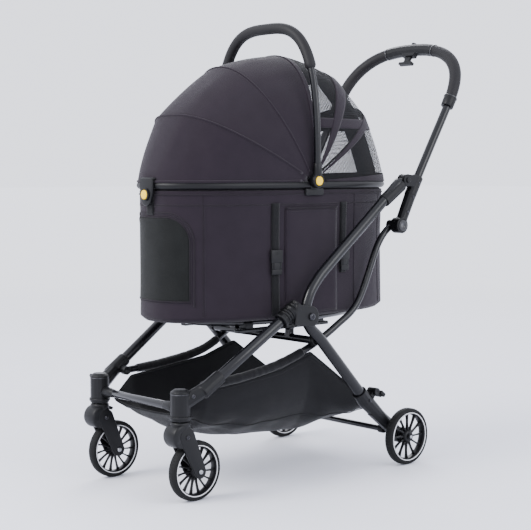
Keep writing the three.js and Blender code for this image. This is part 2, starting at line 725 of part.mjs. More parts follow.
function bailGrip() {
  const outer = pipe(hoopPoints(BAIL, 14, BAIL_HALF_WIDTH, 0.2, 0.8), 12.5, 12, 6);
  return cut(join(outer), bailArch(BAIL_R + GAP));
}

function bailButton(side) {
  const inner = side * (BAIL_HALF_WIDTH - 2);
  return join(discX(CARRIER_AXIS, 8.8, inner, side * (BAIL_HALF_WIDTH + BAIL_R + 1), 14));
}

const LATCH = { y: CARRIER_AXIS[0] - TUB_HALF_LENGTH, z: 650 };

const onLatch = (y) => new THREE.Vector3(0, LATCH.y + y, LATCH.z);

function latchBody() {
  const plate = box([-15, LATCH.y - 9, 636], [15, LATCH.y - 4, 690]);
  const dome = rod(onLatch(-15), onLatch(-5), 13, 16);
  const well = rod(onLatch(-22), onLatch(-7.5), 9.2, 16);
  return cut(join(plate, dome), well);
}

function latchButton() {
  return rod(onLatch(-18), onLatch(-11), 8.8, 16);
}

// Side-release buckle on a webbing strap that runs down the outside of the tub.
function buckleStrap(side, y, low, high) {
  const reach = tubHalfWidthAt(y + 15);
  const strap = box([-1, y - 12, low], [1, y + 12, high]);
  const clip = box([-1, y - 15, (low + high) / 2 - 24], [5.5, y + 15, (low + high) / 2 + 18]);
  const body = join(strap, clip);
  const geometry = geometryOf(body);
  geometry.scale(side, 1, 1);
  if (side < 0) flip(geometry);
  geometry.translate(side * (reach + 1.6), 0, 0);
  return geometry;
}

function flip(geometry) {
  const { index } = geometry;
  for (let i = 0; i < index.count; i += 3) {
    const first = index.getX(i);
    index.setX(i, index.getX(i + 2));
    index.setX(i + 2, first);
  }
}

function tubHalfWidthAt(y) {
  const part = Math.abs(y - CARRIER_AXIS[0]) / TUB_HALF_LENGTH;
  return TUB_HALF_WIDTH * (1 - part ** TUB_POWER) ** (1 / TUB_POWER);
}

// ---------------------------------------------------------------- assembly
bothSides((side, label) => {
  addNode(`side_tube_${label}`, sideTube(side), 'frame');
  addNode(`rear_foot_${label}`, rearFoot(side), 'plastic');
  addNode(`brake_pedal_${label}`, brakePedal(side), 'plastic');
  addNode(`upper_knuckle_${label}`, upperKnuckle(side), 'plastic');
  addNode(`front_tube_${label}`, frontTube(side), 'frame');
  addNode(`pivot_housing_${label}`, pivotHousing(side), 'plastic');
  addNode(`caster_post_${label}`, casterPost(side), 'plastic');
  addNode(`caster_fork_${label}`, casterFork(side), 'plastic');
  const front = [side * CASTER_X, CASTER_TRAIL, FRONT_WHEEL_R];
  addNode(`front_tyre_${label}`, tyre(front, FRONT_WHEEL_R), 'tyre');
  addNode(`front_wheel_${label}`, wheelCore(front, FRONT_WHEEL_R, 12), 'rim');
  const rear = [side * REAR_WHEEL_X, ...REAR_AXLE];
  addNode(`rear_tyre_${label}`, tyre(rear, REAR_WHEEL_R), 'tyre');
  addNode(`rear_wheel_${label}`, wheelCore(rear, REAR_WHEEL_R, 10), 'rim');
  addNode(`fold_link_${label}`, foldLink(side), 'frame');
  addNode(`hinge_block_${label}`, hingeBlock(side), 'plastic');
  addNode(`grip_${label}`, grip(side), 'foam');
  addNode(`bail_button_${label}`, bailButton(side), 'button');
  addNode(`strap_${label}`, buckleStrap(side, 266, 380, 632), 'plastic');
});
addNode('rear_cross_tube', rearCrossTube(), 'gloss');
addNode('carrier_dock', carrierDock(), 'frame');
addNode('front_crossbar', frontCrossbar(), 'gloss');
addNode('handle_tube', handleBow(HANDLE_TUBE_R), 'frame');
addNode('handle_module', handleModule(), 'plastic');
addNode('release_trigger', trigger(), 'plastic');
addNode('release_button', join(buttonShape(0, 13.2, 19.8)), 'gloss');
addNode('basket', basketShell(), 'basket');
addNode('tub', tub(), 'fabric');
addNode('mat', mat(), 'fabric');
addNode('rim_frame', rimFrame(), 'plastic');
addNode('base_ring', baseRing(), 'gloss');
addNode('bail_tube', bailTube(), 'frame');
addNode('bail_grip', bailGrip(), 'foam');
addNode('latch_body', latchBody(), 'plastic');
addNode('latch_button', latchButton(), 'button');
['front_bow', 'hoop_a', 'hoop_b', 'hoop_c', 'hoop_d', 'hoop_e'].forEach((name) => {
  addNode(name, canopyHoop(HOOPS[name]), 'plastic');
});
addNode('canopy_front', canopyPanel(HOOPS.front_bow, HOOPS.hoop_a, 2), 'fabric');
addNode('canopy_middle', canopyPanel(HOOPS.hoop_a, HOOPS.hoop_b, 3), 'fabric');
addNode('canopy_crown', canopyPanel(HOOPS.hoop_b, HOOPS.hoop_c, 3), 'fabric');
addNode('canopy_rear', canopyPanel(HOOPS.hoop_c, REAR_EDGE, 5), 'mesh');

// The finished model stands with the middle of its box over the origin.
const extent = new THREE.Box3().setFromObject(model);
model.position.y = -(extent.min.y + extent.max.y) / 2;

export default model;
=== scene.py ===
# Looks for the folding pet stroller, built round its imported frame. Metres, +Z up, the front faces -Y.
import math

import bmesh
import bpy
import numpy as np
from mathutils import Matrix, Vector, noise


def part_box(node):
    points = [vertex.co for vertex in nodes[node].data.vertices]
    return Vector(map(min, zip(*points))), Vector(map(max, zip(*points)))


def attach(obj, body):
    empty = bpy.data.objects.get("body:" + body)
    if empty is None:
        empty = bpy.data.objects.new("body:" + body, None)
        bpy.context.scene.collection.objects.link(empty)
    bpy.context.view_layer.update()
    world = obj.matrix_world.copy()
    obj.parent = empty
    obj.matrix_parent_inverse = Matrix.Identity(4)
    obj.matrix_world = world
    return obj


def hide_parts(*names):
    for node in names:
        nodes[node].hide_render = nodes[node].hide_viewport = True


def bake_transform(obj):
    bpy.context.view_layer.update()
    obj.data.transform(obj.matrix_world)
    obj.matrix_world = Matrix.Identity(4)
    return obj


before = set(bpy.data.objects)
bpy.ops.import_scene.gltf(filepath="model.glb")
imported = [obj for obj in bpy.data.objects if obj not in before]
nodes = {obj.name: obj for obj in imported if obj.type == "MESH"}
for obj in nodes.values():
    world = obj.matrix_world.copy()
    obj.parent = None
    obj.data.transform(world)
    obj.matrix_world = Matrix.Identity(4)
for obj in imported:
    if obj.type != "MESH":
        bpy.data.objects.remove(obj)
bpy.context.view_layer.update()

# ---------------------------------------------------------------- places shared with the frame
# Side-view places are (y, z) pairs, with y = 0 on the front caster axes and z = 0 on the ground.
CASTER_TRAIL = 0.038
tyre_low, tyre_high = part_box("front_tyre_left")
CASTER_Y = (tyre_low.y + tyre_high.y) / 2 - CASTER_TRAIL

SIDE_X = 0.1925
LINK_X = 0.1685
LINK_LOW_X = 0.145
CASTER_X = 0.148
BRACKET_X = CASTER_X + 0.023
REAR_WHEEL_X = 0.217
MAIN_PIVOT = (0.322, 0.378)
LINK_PIVOT = (0.629, 0.572)
FRONT_LINK_PIVOT = (0.070, 0.243)
CARRIER_AXIS = (0.377, 0.679)
BEAM = (0.362, 0.318)
FRONT_WHEEL_R = 0.065
REAR_WHEEL_R = 0.0675
REAR_AXLE = (0.633, REAR_WHEEL_R)
REAR_FOOT_X = 0.1905
FORK_HEAD = (0.0035, 0.1435)
FORK_HALF_WIDTH = 0.0212
PEDAL_PIVOT = (0.545, 0.183)
WHEEL_WIDTH = 0.022

TUB_HALF_LENGTH = 0.342
TUB_HALF_WIDTH = 0.159
TUB_POWER = 2.35
TUB_BOTTOM = 0.370
TUB_TOP = 0.6560
RIM_R = 0.0085
RIM_Z = 0.6695

CANOPY_HALF_WIDTH = 0.153
BAIL_HALF_WIDTH = 0.172
BAIL_REACH = 0.352
BAIL_POWER = 3.2
HOOP_R = 0.0025

# Canopy hoops: angle above the front horizon in degrees, reach, half width at the pivots, roundness.
HOOPS = {
    "front_bow": (4, 0.333, 0.153, 2.45),
    "hoop_a": (27, 0.314, 0.147, 2.6),
    "hoop_b": (60, 0.290, 0.141, 2.2),
    "hoop_c": (93, 0.285, 0.135, 2.3),
    "hoop_d": (124, 0.300, 0.141, 2.35),
    "hoop_e": (148, 0.310, 0.147, 2.5),
    "rear_edge": (176, 0.333, 0.153, 2.45),
}
SIDES = (("left", 1), ("right", -1))


def at(x, y, z):
    return Vector((x, CASTER_Y + y, z))


def side_at(x, place):
    return at(x, place[0], place[1])


def along(a, b, distance):
    length = math.dist(a, b)
    return tuple(p + (q - p) * distance / length for p, q in zip(a, b))


def rounded(turn, half_x, half_y, power):
    """A point of a rounded rectangle at a turn in radians."""
    c, s = math.cos(turn), math.sin(turn)
    return (
        half_x * math.copysign(abs(c) ** (2 / power), c),
        half_y * math.copysign(abs(s) ** (2 / power), s),
    )


def smooth_step(t):
    t = min(1.0, max(0.0, t))
    return t * t * (3 - 2 * t)


# ---------------------------------------------------------------- shader parts
def group(name, inputs, outputs):
    tree = bpy.data.node_groups.new(name, "ShaderNodeTree")
    for label, kind, value in inputs:
        socket = tree.interface.new_socket(label, in_out="INPUT", socket_type=kind)
        if value is not None:
            socket.default_value = value
    for label, kind in outputs:
        tree.interface.new_socket(label, in_out="OUTPUT", socket_type=kind)
    return tree, tree.nodes.new("NodeGroupInput"), tree.nodes.new("NodeGroupOutput")


def math_node(tree, operation, first, second=None, clamp=False):
    node = tree.nodes.new("ShaderNodeMath")
    node.operation = operation
    node.use_clamp = clamp
    for place, value in enumerate((first, second)):
        if value is None:
            continue
        if isinstance(value, (int, float)):
            node.inputs[place].default_value = value
        else:
            tree.links.new(value, node.inputs[place])
    return node.outputs[0]


def noise_node(tree, vector, scale, detail=3.0, roughness=0.5):
    node = tree.nodes.new("ShaderNodeTexNoise")
    node.inputs["Scale"].default_value = scale
    node.inputs["Detail"].default_value = detail
    node.inputs["Roughness"].default_value = roughness
    tree.links.new(vector, node.inputs["Vector"])
    return node.outputs["Fac"]


def mix_colour(tree, factor, first, second):
    node = tree.nodes.new("ShaderNodeMix")
    node.data_type = "RGBA"
    for value, socket in ((factor, node.inputs[0]), (first, node.inputs[6]), (second, node.inputs[7])):
        if isinstance(value, bpy.types.NodeSocket):
            tree.links.new(value, socket)
        elif isinstance(value, (int, float)):
            socket.default_value = value
        else:
            socket.default_value = (*value, 1)
    return node.outputs[2]


def map_range(tree, value, low, high, to_low, to_high):
    node = tree.nodes.new("ShaderNodeMapRange")
    tree.links.new(value, node.inputs[0])
    for place, number in enumerate((low, high, to_low, to_high), 1):
        node.inputs[place].default_value = number
    return node.outputs[0]


def make_weave_group():
    """Plain weave on a map in metres: thread height, open gaps between threads, and slubs along them."""
    tree, source, sink = group(
        "Weave",
        [("Vector", "NodeSocketVector", None), ("Threads", "NodeSocketFloat", 900.0)],
        [("Height", "NodeSocketFloat"), ("Cover", "NodeSocketFloat"), ("Slub", "NodeSocketFloat")],
    )
    split = tree.nodes.new("ShaderNodeSeparateXYZ")
    tree.links.new(source.outputs["Vector"], split.inputs[0])
    waves = []
    for axis in (0, 1):
        turn = math_node(tree, "MULTIPLY", split.outputs[axis], source.outputs["Threads"])
        turn = math_node(tree, "MULTIPLY", turn, math.pi)
        waves.append(math_node(tree, "SINE", turn))
    crossed = math_node(tree, "GREATER_THAN", math_node(tree, "MULTIPLY", *waves), 0.0)
    warp, weft = (math_node(tree, "ABSOLUTE", wave) for wave in waves)
    over = math_node(tree, "MULTIPLY", warp, crossed)
    under = math_node(tree, "MULTIPLY", weft, math_node(tree, "SUBTRACT", 1.0, crossed))
    tree.links.new(math_node(tree, "ADD", over, under), sink.inputs["Height"])
    gap = math_node(tree, "MINIMUM", warp, weft)
    tree.links.new(math_node(tree, "LESS_THAN", gap, 0.3), sink.inputs["Cover"])
    stretch = tree.nodes.new("ShaderNodeMapping")
    stretch.inputs["Scale"].default_value = (60, 420, 60)
    tree.links.new(source.outputs["Vector"], stretch.inputs["Vector"])
    tree.links.new(noise_node(tree, stretch.outputs[0], 1.0, 2.0), sink.inputs["Slub"])
    return tree


def make_grain_group():
    """Fine moulded or leathery grain: height, and a slow patchiness for colour and gloss."""
    tree, source, sink = group(
        "Grain",
        [("Vector", "NodeSocketVector", None), ("Scale", "NodeSocketFloat", 900.0)],
        [("Height", "NodeSocketFloat"), ("Patch", "NodeSocketFloat")],
    )
    cells = tree.nodes.new("ShaderNodeTexVoronoi")
    cells.feature = "SMOOTH_F1"
    tree.links.new(source.outputs["Vector"], cells.inputs["Vector"])
    tree.links.new(source.outputs["Scale"], cells.inputs["Scale"])
    tree.links.new(cells.outputs["Distance"], sink.inputs["Height"])
    tree.links.new(noise_node(tree, source.outputs["Vector"], 14.0, 4.0), sink.inputs["Patch"])
    return tree


def make_wear_group():
    """Rubbed edges: bright where the surface turns sharply, broken up by noise."""
    tree, source, sink = group(
        "Rubbed Edges",
        [("Vector", "NodeSocketVector", None)],
        [("Mask", "NodeSocketFloat")],
    )
    geometry = tree.nodes.new("ShaderNodeNewGeometry")
    edge = map_range(tree, geometry.outputs["Pointiness"], 0.53, 0.62, 0.0, 1.0)
    broken = map_range(tree, noise_node(tree, source.outputs["Vector"], 120.0, 4.0), 0.4, 0.65, 0.0, 1.0)
    tree.links.new(math_node(tree, "MULTIPLY", edge, broken, True), sink.inputs["Mask"])
    return tree


WEAVE = make_weave_group()
GRAIN = make_grain_group()
WEAR = make_wear_group()


def shader(name):
    material = bpy.data.materials.new(name)
    material.use_nodes = True
    tree = material.node_tree
    return material, tree, tree.nodes["Principled BSDF"]


def place_group(tree, shared, vector, **values):
    node = tree.nodes.new("ShaderNodeGroup")
    node.node_tree = shared
    tree.links.new(vector, node.inputs["Vector"])
    for label, value in values.items():
        node.inputs[label].default_value = value
    return node


def object_vector(tree):
    return tree.nodes.new("ShaderNodeTexCoord").outputs["Object"]


def cloth_vector(tree):
    node = tree.nodes.new("ShaderNodeUVMap")
    node.uv_map = "cloth"
    return node.outputs[0]


def bump(tree, principled, height, strength, distance):
    node = tree.nodes.new("ShaderNodeBump")
    node.inputs["Strength"].default_value = strength
    node.inputs["Distance"].default_value = distance
    tree.links.new(height, node.inputs["Height"])
    tree.links.new(node.outputs[0], principled.inputs["Normal"])


BLACK_RUB = (0.028, 0.028, 0.031)


def cloth_material(name, dark, light, threads, roughness, sheen, open_net=False, thread_bump=0.35):
    """Woven cloth with slubs, soft mottling, painted shade in the weave's hollows and a little sheen; an
    open net lets light through its gaps.
    """
    material, tree, principled = shader(name)
    weave = place_group(tree, WEAVE, cloth_vector(tree), Threads=threads)
    patch = noise_node(tree, object_vector(tree), 26.0, 4.0, 0.6)
    blend = math_node(tree, "MULTIPLY", patch, 0.55)
    blend = math_node(tree, "ADD", blend, math_node(tree, "MULTIPLY", weave.outputs["Slub"], 0.3))
    # Painted shade: the weave's height darkens the hollows between threads and lightens the thread crowns.
    blend = math_node(tree, "ADD", blend, math_node(tree, "MULTIPLY", weave.outputs["Height"], 0.15), True)
    tree.links.new(mix_colour(tree, blend, dark, light), principled.inputs["Base Color"])
    rough = map_range(tree, weave.outputs["Slub"], 0.2, 0.8, roughness - 0.06, roughness + 0.06)
    tree.links.new(rough, principled.inputs["Roughness"])
    principled.inputs["Sheen Weight"].default_value = sheen
    principled.inputs["Sheen Roughness"].default_value = 0.45
    principled.inputs["Specular IOR Level"].default_value = 0.08
    bump(tree, principled, weave.outputs["Height"], thread_bump, 0.0004)
    if open_net:
        tree.links.new(weave.outputs["Cover"], principled.inputs["Alpha"])
    return material


def moulded_material(
    name, dark, light, roughness, grain, grain_strength, coat=0.0, worn=BLACK_RUB, metallic=0.0,
):
    """Plastic, paint, leather or metal: grained, slightly patchy, and rubbed paler along its edges."""
    material, tree, principled = shader(name)
    vector = object_vector(tree)
    grained = place_group(tree, GRAIN, vector, Scale=grain)
    wear = place_group(tree, WEAR, vector)
    base = mix_colour(tree, grained.outputs["Patch"], dark, light)
    faint = math_node(tree, "MULTIPLY", wear.outputs["Mask"], 0.35)
    tree.links.new(mix_colour(tree, faint, base, worn), principled.inputs["Base Color"])
    rough = map_range(tree, grained.outputs["Patch"], 0.3, 0.7, roughness - 0.05, roughness + 0.07)
    tree.links.new(rough, principled.inputs["Roughness"])
    principled.inputs["Specular IOR Level"].default_value = 0.22
    principled.inputs["Coat Weight"].default_value = coat
    principled.inputs["Coat Roughness"].default_value = 0.2
    principled.inputs["Metallic"].default_value = metallic
    bump(tree, principled, grained.outputs["Height"], grain_strength, 0.00025)
    return material


COVER_CLOTH = cloth_material(
    "Charcoal Cover Cloth", (0.0105, 0.0078, 0.0112), (0.0205, 0.0152, 0.0208), 950, 0.9, 0.12,
)
SEAM_CLOTH = cloth_material(
    "Seam Binding", (0.0085, 0.0066, 0.0090), (0.0165, 0.0125, 0.0168), 700, 0.88, 0.1,
)
LINING_CLOTH = cloth_material("Grey Lining", (0.018, 0.0165, 0.0185), (0.036, 0.032, 0.036), 800, 0.9, 0.3)
BASKET_CLOTH = cloth_material(
    "Black Basket Nylon", (0.0020, 0.0020, 0.0026), (0.0050, 0.0050, 0.0062), 1100, 0.62, 0.15,
)
NET_CLOTH = cloth_material(
    "Open Net", (0.010, 0.010, 0.011), (0.020, 0.020, 0.022), 360, 0.75, 0.1, open_net=True,
)
WINDOW_NET = cloth_material(
    "Window Net", (0.0018, 0.0019, 0.0020), (0.0125, 0.0135, 0.0130), 300, 0.8, 0.1, thread_bump=0.9,
)
WEBBING = cloth_material(
    "Black Webbing", (0.0030, 0.0030, 0.0034), (0.0080, 0.0080, 0.0088), 420, 0.7, 0.1, thread_bump=0.9,
)
THREAD = cloth_material("Sewing Thread", (0.017, 0.0145, 0.0175), (0.030, 0.026, 0.031), 2500, 0.7, 0.2)
FRAME_PAINT = moulded_material(
    "Satin Frame Paint", (0.0018, 0.0019, 0.0027), (0.0034, 0.0036, 0.0048), 0.24, 2600, 0.12, 0.2,
)
PLASTIC = moulded_material(
    "Moulded Black Plastic", (0.0020, 0.0020, 0.0025), (0.0040, 0.0041, 0.0048), 0.40, 1500, 0.3,
)
GLOSS = moulded_material(
    "Glossy Black", (0.004, 0.004, 0.005), (0.007, 0.007, 0.009), 0.14, 3000, 0.03, 0.6,
)
LEATHER = moulded_material(
    "Stitched Grip Leather", (0.0048, 0.0045, 0.0052), (0.0100, 0.0093, 0.0106), 0.55, 620, 0.75,
)
RUBBER = moulded_material(
    "Tyre Rubber", (0.0022, 0.0022, 0.0022), (0.0046, 0.0046, 0.0046), 0.72, 1300, 0.35,
)
WHEEL_PLASTIC = moulded_material(
    "Wheel Plastic", (0.0022, 0.0022, 0.0028), (0.0044, 0.0044, 0.0052), 0.38, 1800, 0.15,
)
YELLOW = moulded_material(
    "Yellow Button", (0.82, 0.50, 0.0), (0.92, 0.60, 0.002), 0.32, 2200, 0.1, 0.3, (0.95, 0.72, 0.05),
)
WHITE_BAND = moulded_material(
    "White Wheel Band", (0.62, 0.62, 0.63), (0.74, 0.74, 0.75), 0.45, 1900, 0.15, 0.0, (0.8, 0.8, 0.8),
)
STEEL = moulded_material(
    "Zinc Fastener", (0.30, 0.31, 0.33), (0.45, 0.46, 0.48), 0.3, 2400, 0.15, 0.0, (0.6, 0.6, 0.62), 1.0,
)
DARK_STEEL = moulded_material(
    "Blackened Fastener", (0.03, 0.03, 0.034), (0.05, 0.05, 0.056), 0.32, 2400, 0.15,
    0.0, (0.2, 0.2, 0.21), 1.0,
)


# ---------------------------------------------------------------- mesh parts
def new_piece(name, vertices, faces, material, smooth=True, uvs=None):
    mesh = bpy.data.meshes.new(name)
    mesh.from_pydata([tuple(v) for v in vertices], [], faces)
    mesh.materials.append(material)
    if uvs is not None:
        layer = mesh.uv_layers.new(name="cloth")
        corners = np.zeros(len(mesh.loops), np.int32)
        mesh.loops.foreach_get("vertex_index", corners)
        layer.data.foreach_set("uv", np.array(uvs, np.float32)[corners].ravel())
    mesh.update()
    piece = bpy.data.objects.new(name, mesh)
    bpy.context.scene.collection.objects.link(piece)
    if smooth:
        mesh.polygons.foreach_set("use_smooth", [True] * len(mesh.polygons))
    return piece


def face_outwards(piece):
    """Merges doubled points and turns every face of a closed piece outwards."""
    work = bmesh.new()
    work.from_mesh(piece.data)
    bmesh.ops.remove_doubles(work, verts=work.verts, dist=1e-6)
    bmesh.ops.recalc_face_normals(work, faces=work.faces)
    work.to_mesh(piece.data)
    work.free()
    return piece


def join_pieces(name, pieces):
    """One piece made of several, keeping their materials and maps."""
    work = bmesh.new()
    materials = []
    for piece in pieces:
        places = []
        for material in piece.data.materials:
            if material not in materials:
                materials.append(material)
            places.append(materials.index(material))
        start = len(work.faces)
        work.from_mesh(piece.data)
        work.faces.ensure_lookup_table()
        for face in work.faces[start:]:
            face.material_index = places[min(face.material_index, len(places) - 1)]
        bpy.data.objects.remove(piece)
    mesh = bpy.data.meshes.new(name)
    work.to_mesh(mesh)
    work.free()
    for material in materials:
        mesh.materials.append(material)
    joined = bpy.data.objects.new(name, mesh)
    bpy.context.scene.collection.objects.link(joined)
    return joined


def soften(piece, width, segments=3, angle=35):
    modifier = piece.modifiers.new("Soft edges", "BEVEL")
    modifier.width = width
    modifier.segments = segments
    modifier.limit_method = "ANGLE"
    modifier.angle_limit = math.radians(angle)
    modifier.harden_normals = False
    return bake_modifiers(piece)


def bake_modifiers(piece):
    """Turns a piece and its modifiers into a plain mesh."""
    depsgraph = bpy.context.evaluated_depsgraph_get()
    depsgraph.update()
    mesh = bpy.data.meshes.new_from_object(piece.evaluated_get(depsgraph), depsgraph=depsgraph)
    piece.modifiers.clear()
    piece.data = mesh
    return piece


def flowing(points, count, closed=False):
    """Resamples a list of points as a smooth curve with even steps."""
    points = [Vector(p) for p in points]
    total = len(points)
    dense = []
    spans = total if closed else total - 1
    for i in range(spans):
        if closed:
            four = [points[(i + k) % total] for k in (-1, 0, 1, 2)]
        else:
            four = [points[min(max(i + k, 0), total - 1)] for k in (-1, 0, 1, 2)]
        for step in range(12):
            dense.append(catmull(*four, step / 12))
    dense.append(points[0] if closed else points[-1])
    lengths = [0.0]
    for a, b in zip(dense, dense[1:]):
        lengths.append(lengths[-1] + (b - a).length)
    made = []
    place = 0
    for i in range(count + (0 if closed else 1)):
        goal = lengths[-1] * i / count
        while place < len(dense) - 2 and lengths[place + 1] < goal:
            place += 1
        span = lengths[place + 1] - lengths[place]
        made.append(dense[place].lerp(dense[place + 1], (goal - lengths[place]) / max(span, 1e-9)))
    return made


def catmull(p0, p1, p2, p3, t):
    """A point of the centripetal curve between p1 and p2."""
    t1 = max((p1 - p0).length, 1e-6) ** 0.5
    t2 = t1 + max((p2 - p1).length, 1e-6) ** 0.5
    t3 = t2 + max((p3 - p2).length, 1e-6) ** 0.5
    s = t1 + (t2 - t1) * t
    a1 = p0.lerp(p1, s / t1)
    a2 = p1.lerp(p2, (s - t1) / (t2 - t1))
    a3 = p2.lerp(p3, (s - t2) / (t3 - t2))
    b1 = a1.lerp(a2, s / t2)
    b2 = a2.lerp(a3, (s - t1) / (t3 - t1))
    return b1.lerp(b2, (s - t1) / (t2 - t1))


def frames_along(path, closed=False):
    """Two cross directions at every point of a path, turning as little as they can."""
    total = len(path)
    tangents = []
    for i in range(total):
        before = path[(i - 1) % total] if closed else path[max(i - 1, 0)]
        after = path[(i + 1) % total] if closed else path[min(i + 1, total - 1)]
        tangents.append((after - before).normalized())
    helper = Vector((1, 0, 0)) if abs(tangents[0].x) < 0.8 else Vector((0, 0, 1))
    normal = (helper - tangents[0] * helper.dot(tangents[0])).normalized()
    made = []
    for tangent in tangents:
        normal = (normal - tangent * normal.dot(tangent)).normalized()
        made.append((normal, tangent.cross(normal)))
    return made


def sweep(name, path, radius, material, sides=24, closed=False, squash=1.0):
    """A round tube along a path. radius is a number or a function of the share of the way along."""
    size = radius if callable(radius) else (lambda share: radius)
    cross = frames_along(path, closed)
    vertices, uvs = [], []
    run = 0.0
    total = len(path)
    for i, (point, (u, v)) in enumerate(zip(path, cross)):
        if i:
            run += (point - path[i - 1]).length
        r = size(i / max(total - 1, 1))
        for k in range(sides):
            turn = 2 * math.pi * k / sides
            vertices.append(point + u * (r * math.cos(turn)) + v * (r * squash * math.sin(turn)))
            uvs.append((run, r * turn))
    faces = []
    for i in range(total if closed else total - 1):
        a, b = i * sides, ((i + 1) % total) * sides
        for k in range(sides):
            n = (k + 1) % sides
            faces.append((a + k, a + n, b + n, b + k))
    if not closed:
        faces.append(tuple(range(sides))[::-1])
        faces.append(tuple((total - 1) * sides + k for k in range(sides)))
    return face_outwards(new_piece(name, vertices, faces, material, uvs=uvs))


def straight(name, start, end, radius, material, sides=24, end_radius=None):
    """A straight rod with softly rounded ends."""
    end_radius = radius if end_radius is None else end_radius
    length = (end - start).length
    edge = min(0.0012, radius * 0.3)
    shares = [0, edge * 0.3 / length, edge / length, 0.5, 1 - edge / length, 1 - edge * 0.3 / length, 1]
    insets = [edge, edge * 0.3, 0, 0, 0, edge * 0.3, edge]

    def size(share):
        return np.interp(share, range(7), [
            radius + (end_radius - radius) * s - inset for s, inset in zip(shares, insets)
        ])

    path = [start.lerp(end, s) for s in shares]
    return sweep(name, path, lambda share: float(size(share * 6)), material, sides)


def turned(name, centre, profile, material, sides=40, axis="x"):
    """A lathe piece about a line along X or Z. profile is a closed outline of (offset, radius) pairs."""
    vertices, faces = [], []
    for offset, radius in profile:
        for k in range(sides):
            turn = 2 * math.pi * k / sides
            c, s = radius * math.cos(turn), radius * math.sin(turn)
            place = (offset, c, s) if axis == "x" else (c, s, offset)
            vertices.append(centre + Vector(place))
    total = len(profile)
    for i in range(total):
        a, b = i * sides, ((i + 1) % total) * sides
        for k in range(sides):
            n = (k + 1) % sides
            faces.append((a + k, a + n, b + n, b + k))
    return face_outwards(new_piece(name, vertices, faces, material))


def disc(name, centre, low, high, radius, material, sides=36, round_edge=0.0008):
    """A solid round button or boss along X from offset low to high, with rounded rims."""
    e = min(round_edge, radius * 0.4, (high - low) * 0.4)
    tiny = 1e-5
    profile = [
        (low, tiny), (low, radius - e), (low + e * 0.3, radius - e * 0.3), (low + e, radius),
        (high - e, radius), (high - e * 0.3, radius - e * 0.3), (high, radius - e), (high, tiny),
    ]
    return turned(name, centre, profile, material, sides)


def block(name, centre, size, material, turn=None, edge=0.0015):
    """A box with rounded edges, turned about its own centre."""
    work = bmesh.new()
    bmesh.ops.create_cube(work, size=1.0)
    matrix = Matrix.Diagonal((*size, 1))
    if turn is not None:
        matrix = turn.to_4x4() @ matrix
    bmesh.ops.transform(work, matrix=Matrix.Translation(centre) @ matrix, verts=work.verts)
    mesh = bpy.data.meshes.new(name)
    work.to_mesh(mesh)
    work.free()
    mesh.materials.append(material)
    mesh.polygons.foreach_set("use_smooth", [True] * len(mesh.polygons))
    piece = bpy.data.objects.new(name, mesh)
    bpy.context.scene.collection.objects.link(piece)
    return soften(piece, edge, 3)


def plate_between(name, near, far, material, edge):
    """A flat plate between two matching outlines, with rounded edges."""
    n = len(near)
    faces = [tuple(range(n)), tuple(reversed(range(n, 2 * n)))]
    faces += [(i, i + n, (i + 1) % n + n, (i + 1) % n) for i in range(n)]
    return soften(face_outwards(new_piece(name, near + far, faces, material)), edge, 3)


def surface_grid(name, rows, columns, point, material, thickness=0.0):
    """A sheet from point(column share, row share). Its map is in metres, and "cut" keeps its size."""
    vertices = [[point(i / columns, j / rows) for i in range(columns + 1)] for j in range(rows + 1)]
    flat = [p for row in vertices for p in row]
    uvs = []
    heights = [0.0] * (columns + 1)
    for j, row in enumerate(vertices):
        run = 0.0
        for i, p in enumerate(row):
            if i:
                run += (p - row[i - 1]).length
            if j:
                heights[i] += (p - vertices[j - 1][i]).length
            uvs.append((run, heights[i]))
    faces = []
    for j in range(rows):
        for i in range(columns):
            a = j * (columns + 1) + i
            faces.append((a, a + 1, a + columns + 2, a + columns + 1))
    piece = new_piece(name, flat, faces, material, uvs=uvs)
    width = max(uvs[(columns + 1) * (j + 1) - 1][0] for j in range(rows + 1))
    cut = [width, max(heights), sum(polygon.area for polygon in piece.data.polygons)]
    if thickness:
        modifier = piece.modifiers.new("Cloth thickness", "SOLIDIFY")
        modifier.thickness = thickness
        modifier.offset = -1
        modifier.use_even_offset = False
        bake_modifiers(piece)
    piece["cut"] = cut
    return piece


# ---------------------------------------------------------------- repeated details
def input_ids(tree):
    return {item.name: item.identifier for item in tree.interface.items_tree if item.in_out == "INPUT"}


def make_stitch_tree():
    """Places a small unit at even steps along a curve, turned along it."""
    tree = bpy.data.node_groups.new("Along A Line", "GeometryNodeTree")
    tree.interface.new_socket("Geometry", in_out="INPUT", socket_type="NodeSocketGeometry")
    for label, kind in (
        ("Step", "NodeSocketFloat"), ("Unit", "NodeSocketObject"), ("Material", "NodeSocketMaterial"),
    ):
        tree.interface.new_socket(label, in_out="INPUT", socket_type=kind)
    tree.interface.new_socket("Geometry", in_out="OUTPUT", socket_type="NodeSocketGeometry")
    source, sink = tree.nodes.new("NodeGroupInput"), tree.nodes.new("NodeGroupOutput")
    to_curve = tree.nodes.new("GeometryNodeMeshToCurve")
    points = tree.nodes.new("GeometryNodeCurveToPoints")
    points.mode = "LENGTH"
    info = tree.nodes.new("GeometryNodeObjectInfo")
    place = tree.nodes.new("GeometryNodeInstanceOnPoints")
    realize = tree.nodes.new("GeometryNodeRealizeInstances")
    paint = tree.nodes.new("GeometryNodeSetMaterial")
    links = tree.links
    links.new(source.outputs["Geometry"], to_curve.inputs["Mesh"])
    links.new(to_curve.outputs[0], points.inputs["Curve"])
    links.new(source.outputs["Step"], points.inputs["Length"])
    links.new(source.outputs["Unit"], info.inputs["Object"])
    links.new(points.outputs["Points"], place.inputs["Points"])
    links.new(points.outputs["Rotation"], place.inputs["Rotation"])
    links.new(info.outputs["Geometry"], place.inputs["Instance"])
    links.new(place.outputs[0], realize.inputs[0])
    links.new(realize.outputs[0], paint.inputs["Geometry"])
    links.new(source.outputs["Material"], paint.inputs["Material"])
    links.new(paint.outputs[0], sink.inputs["Geometry"])
    return tree


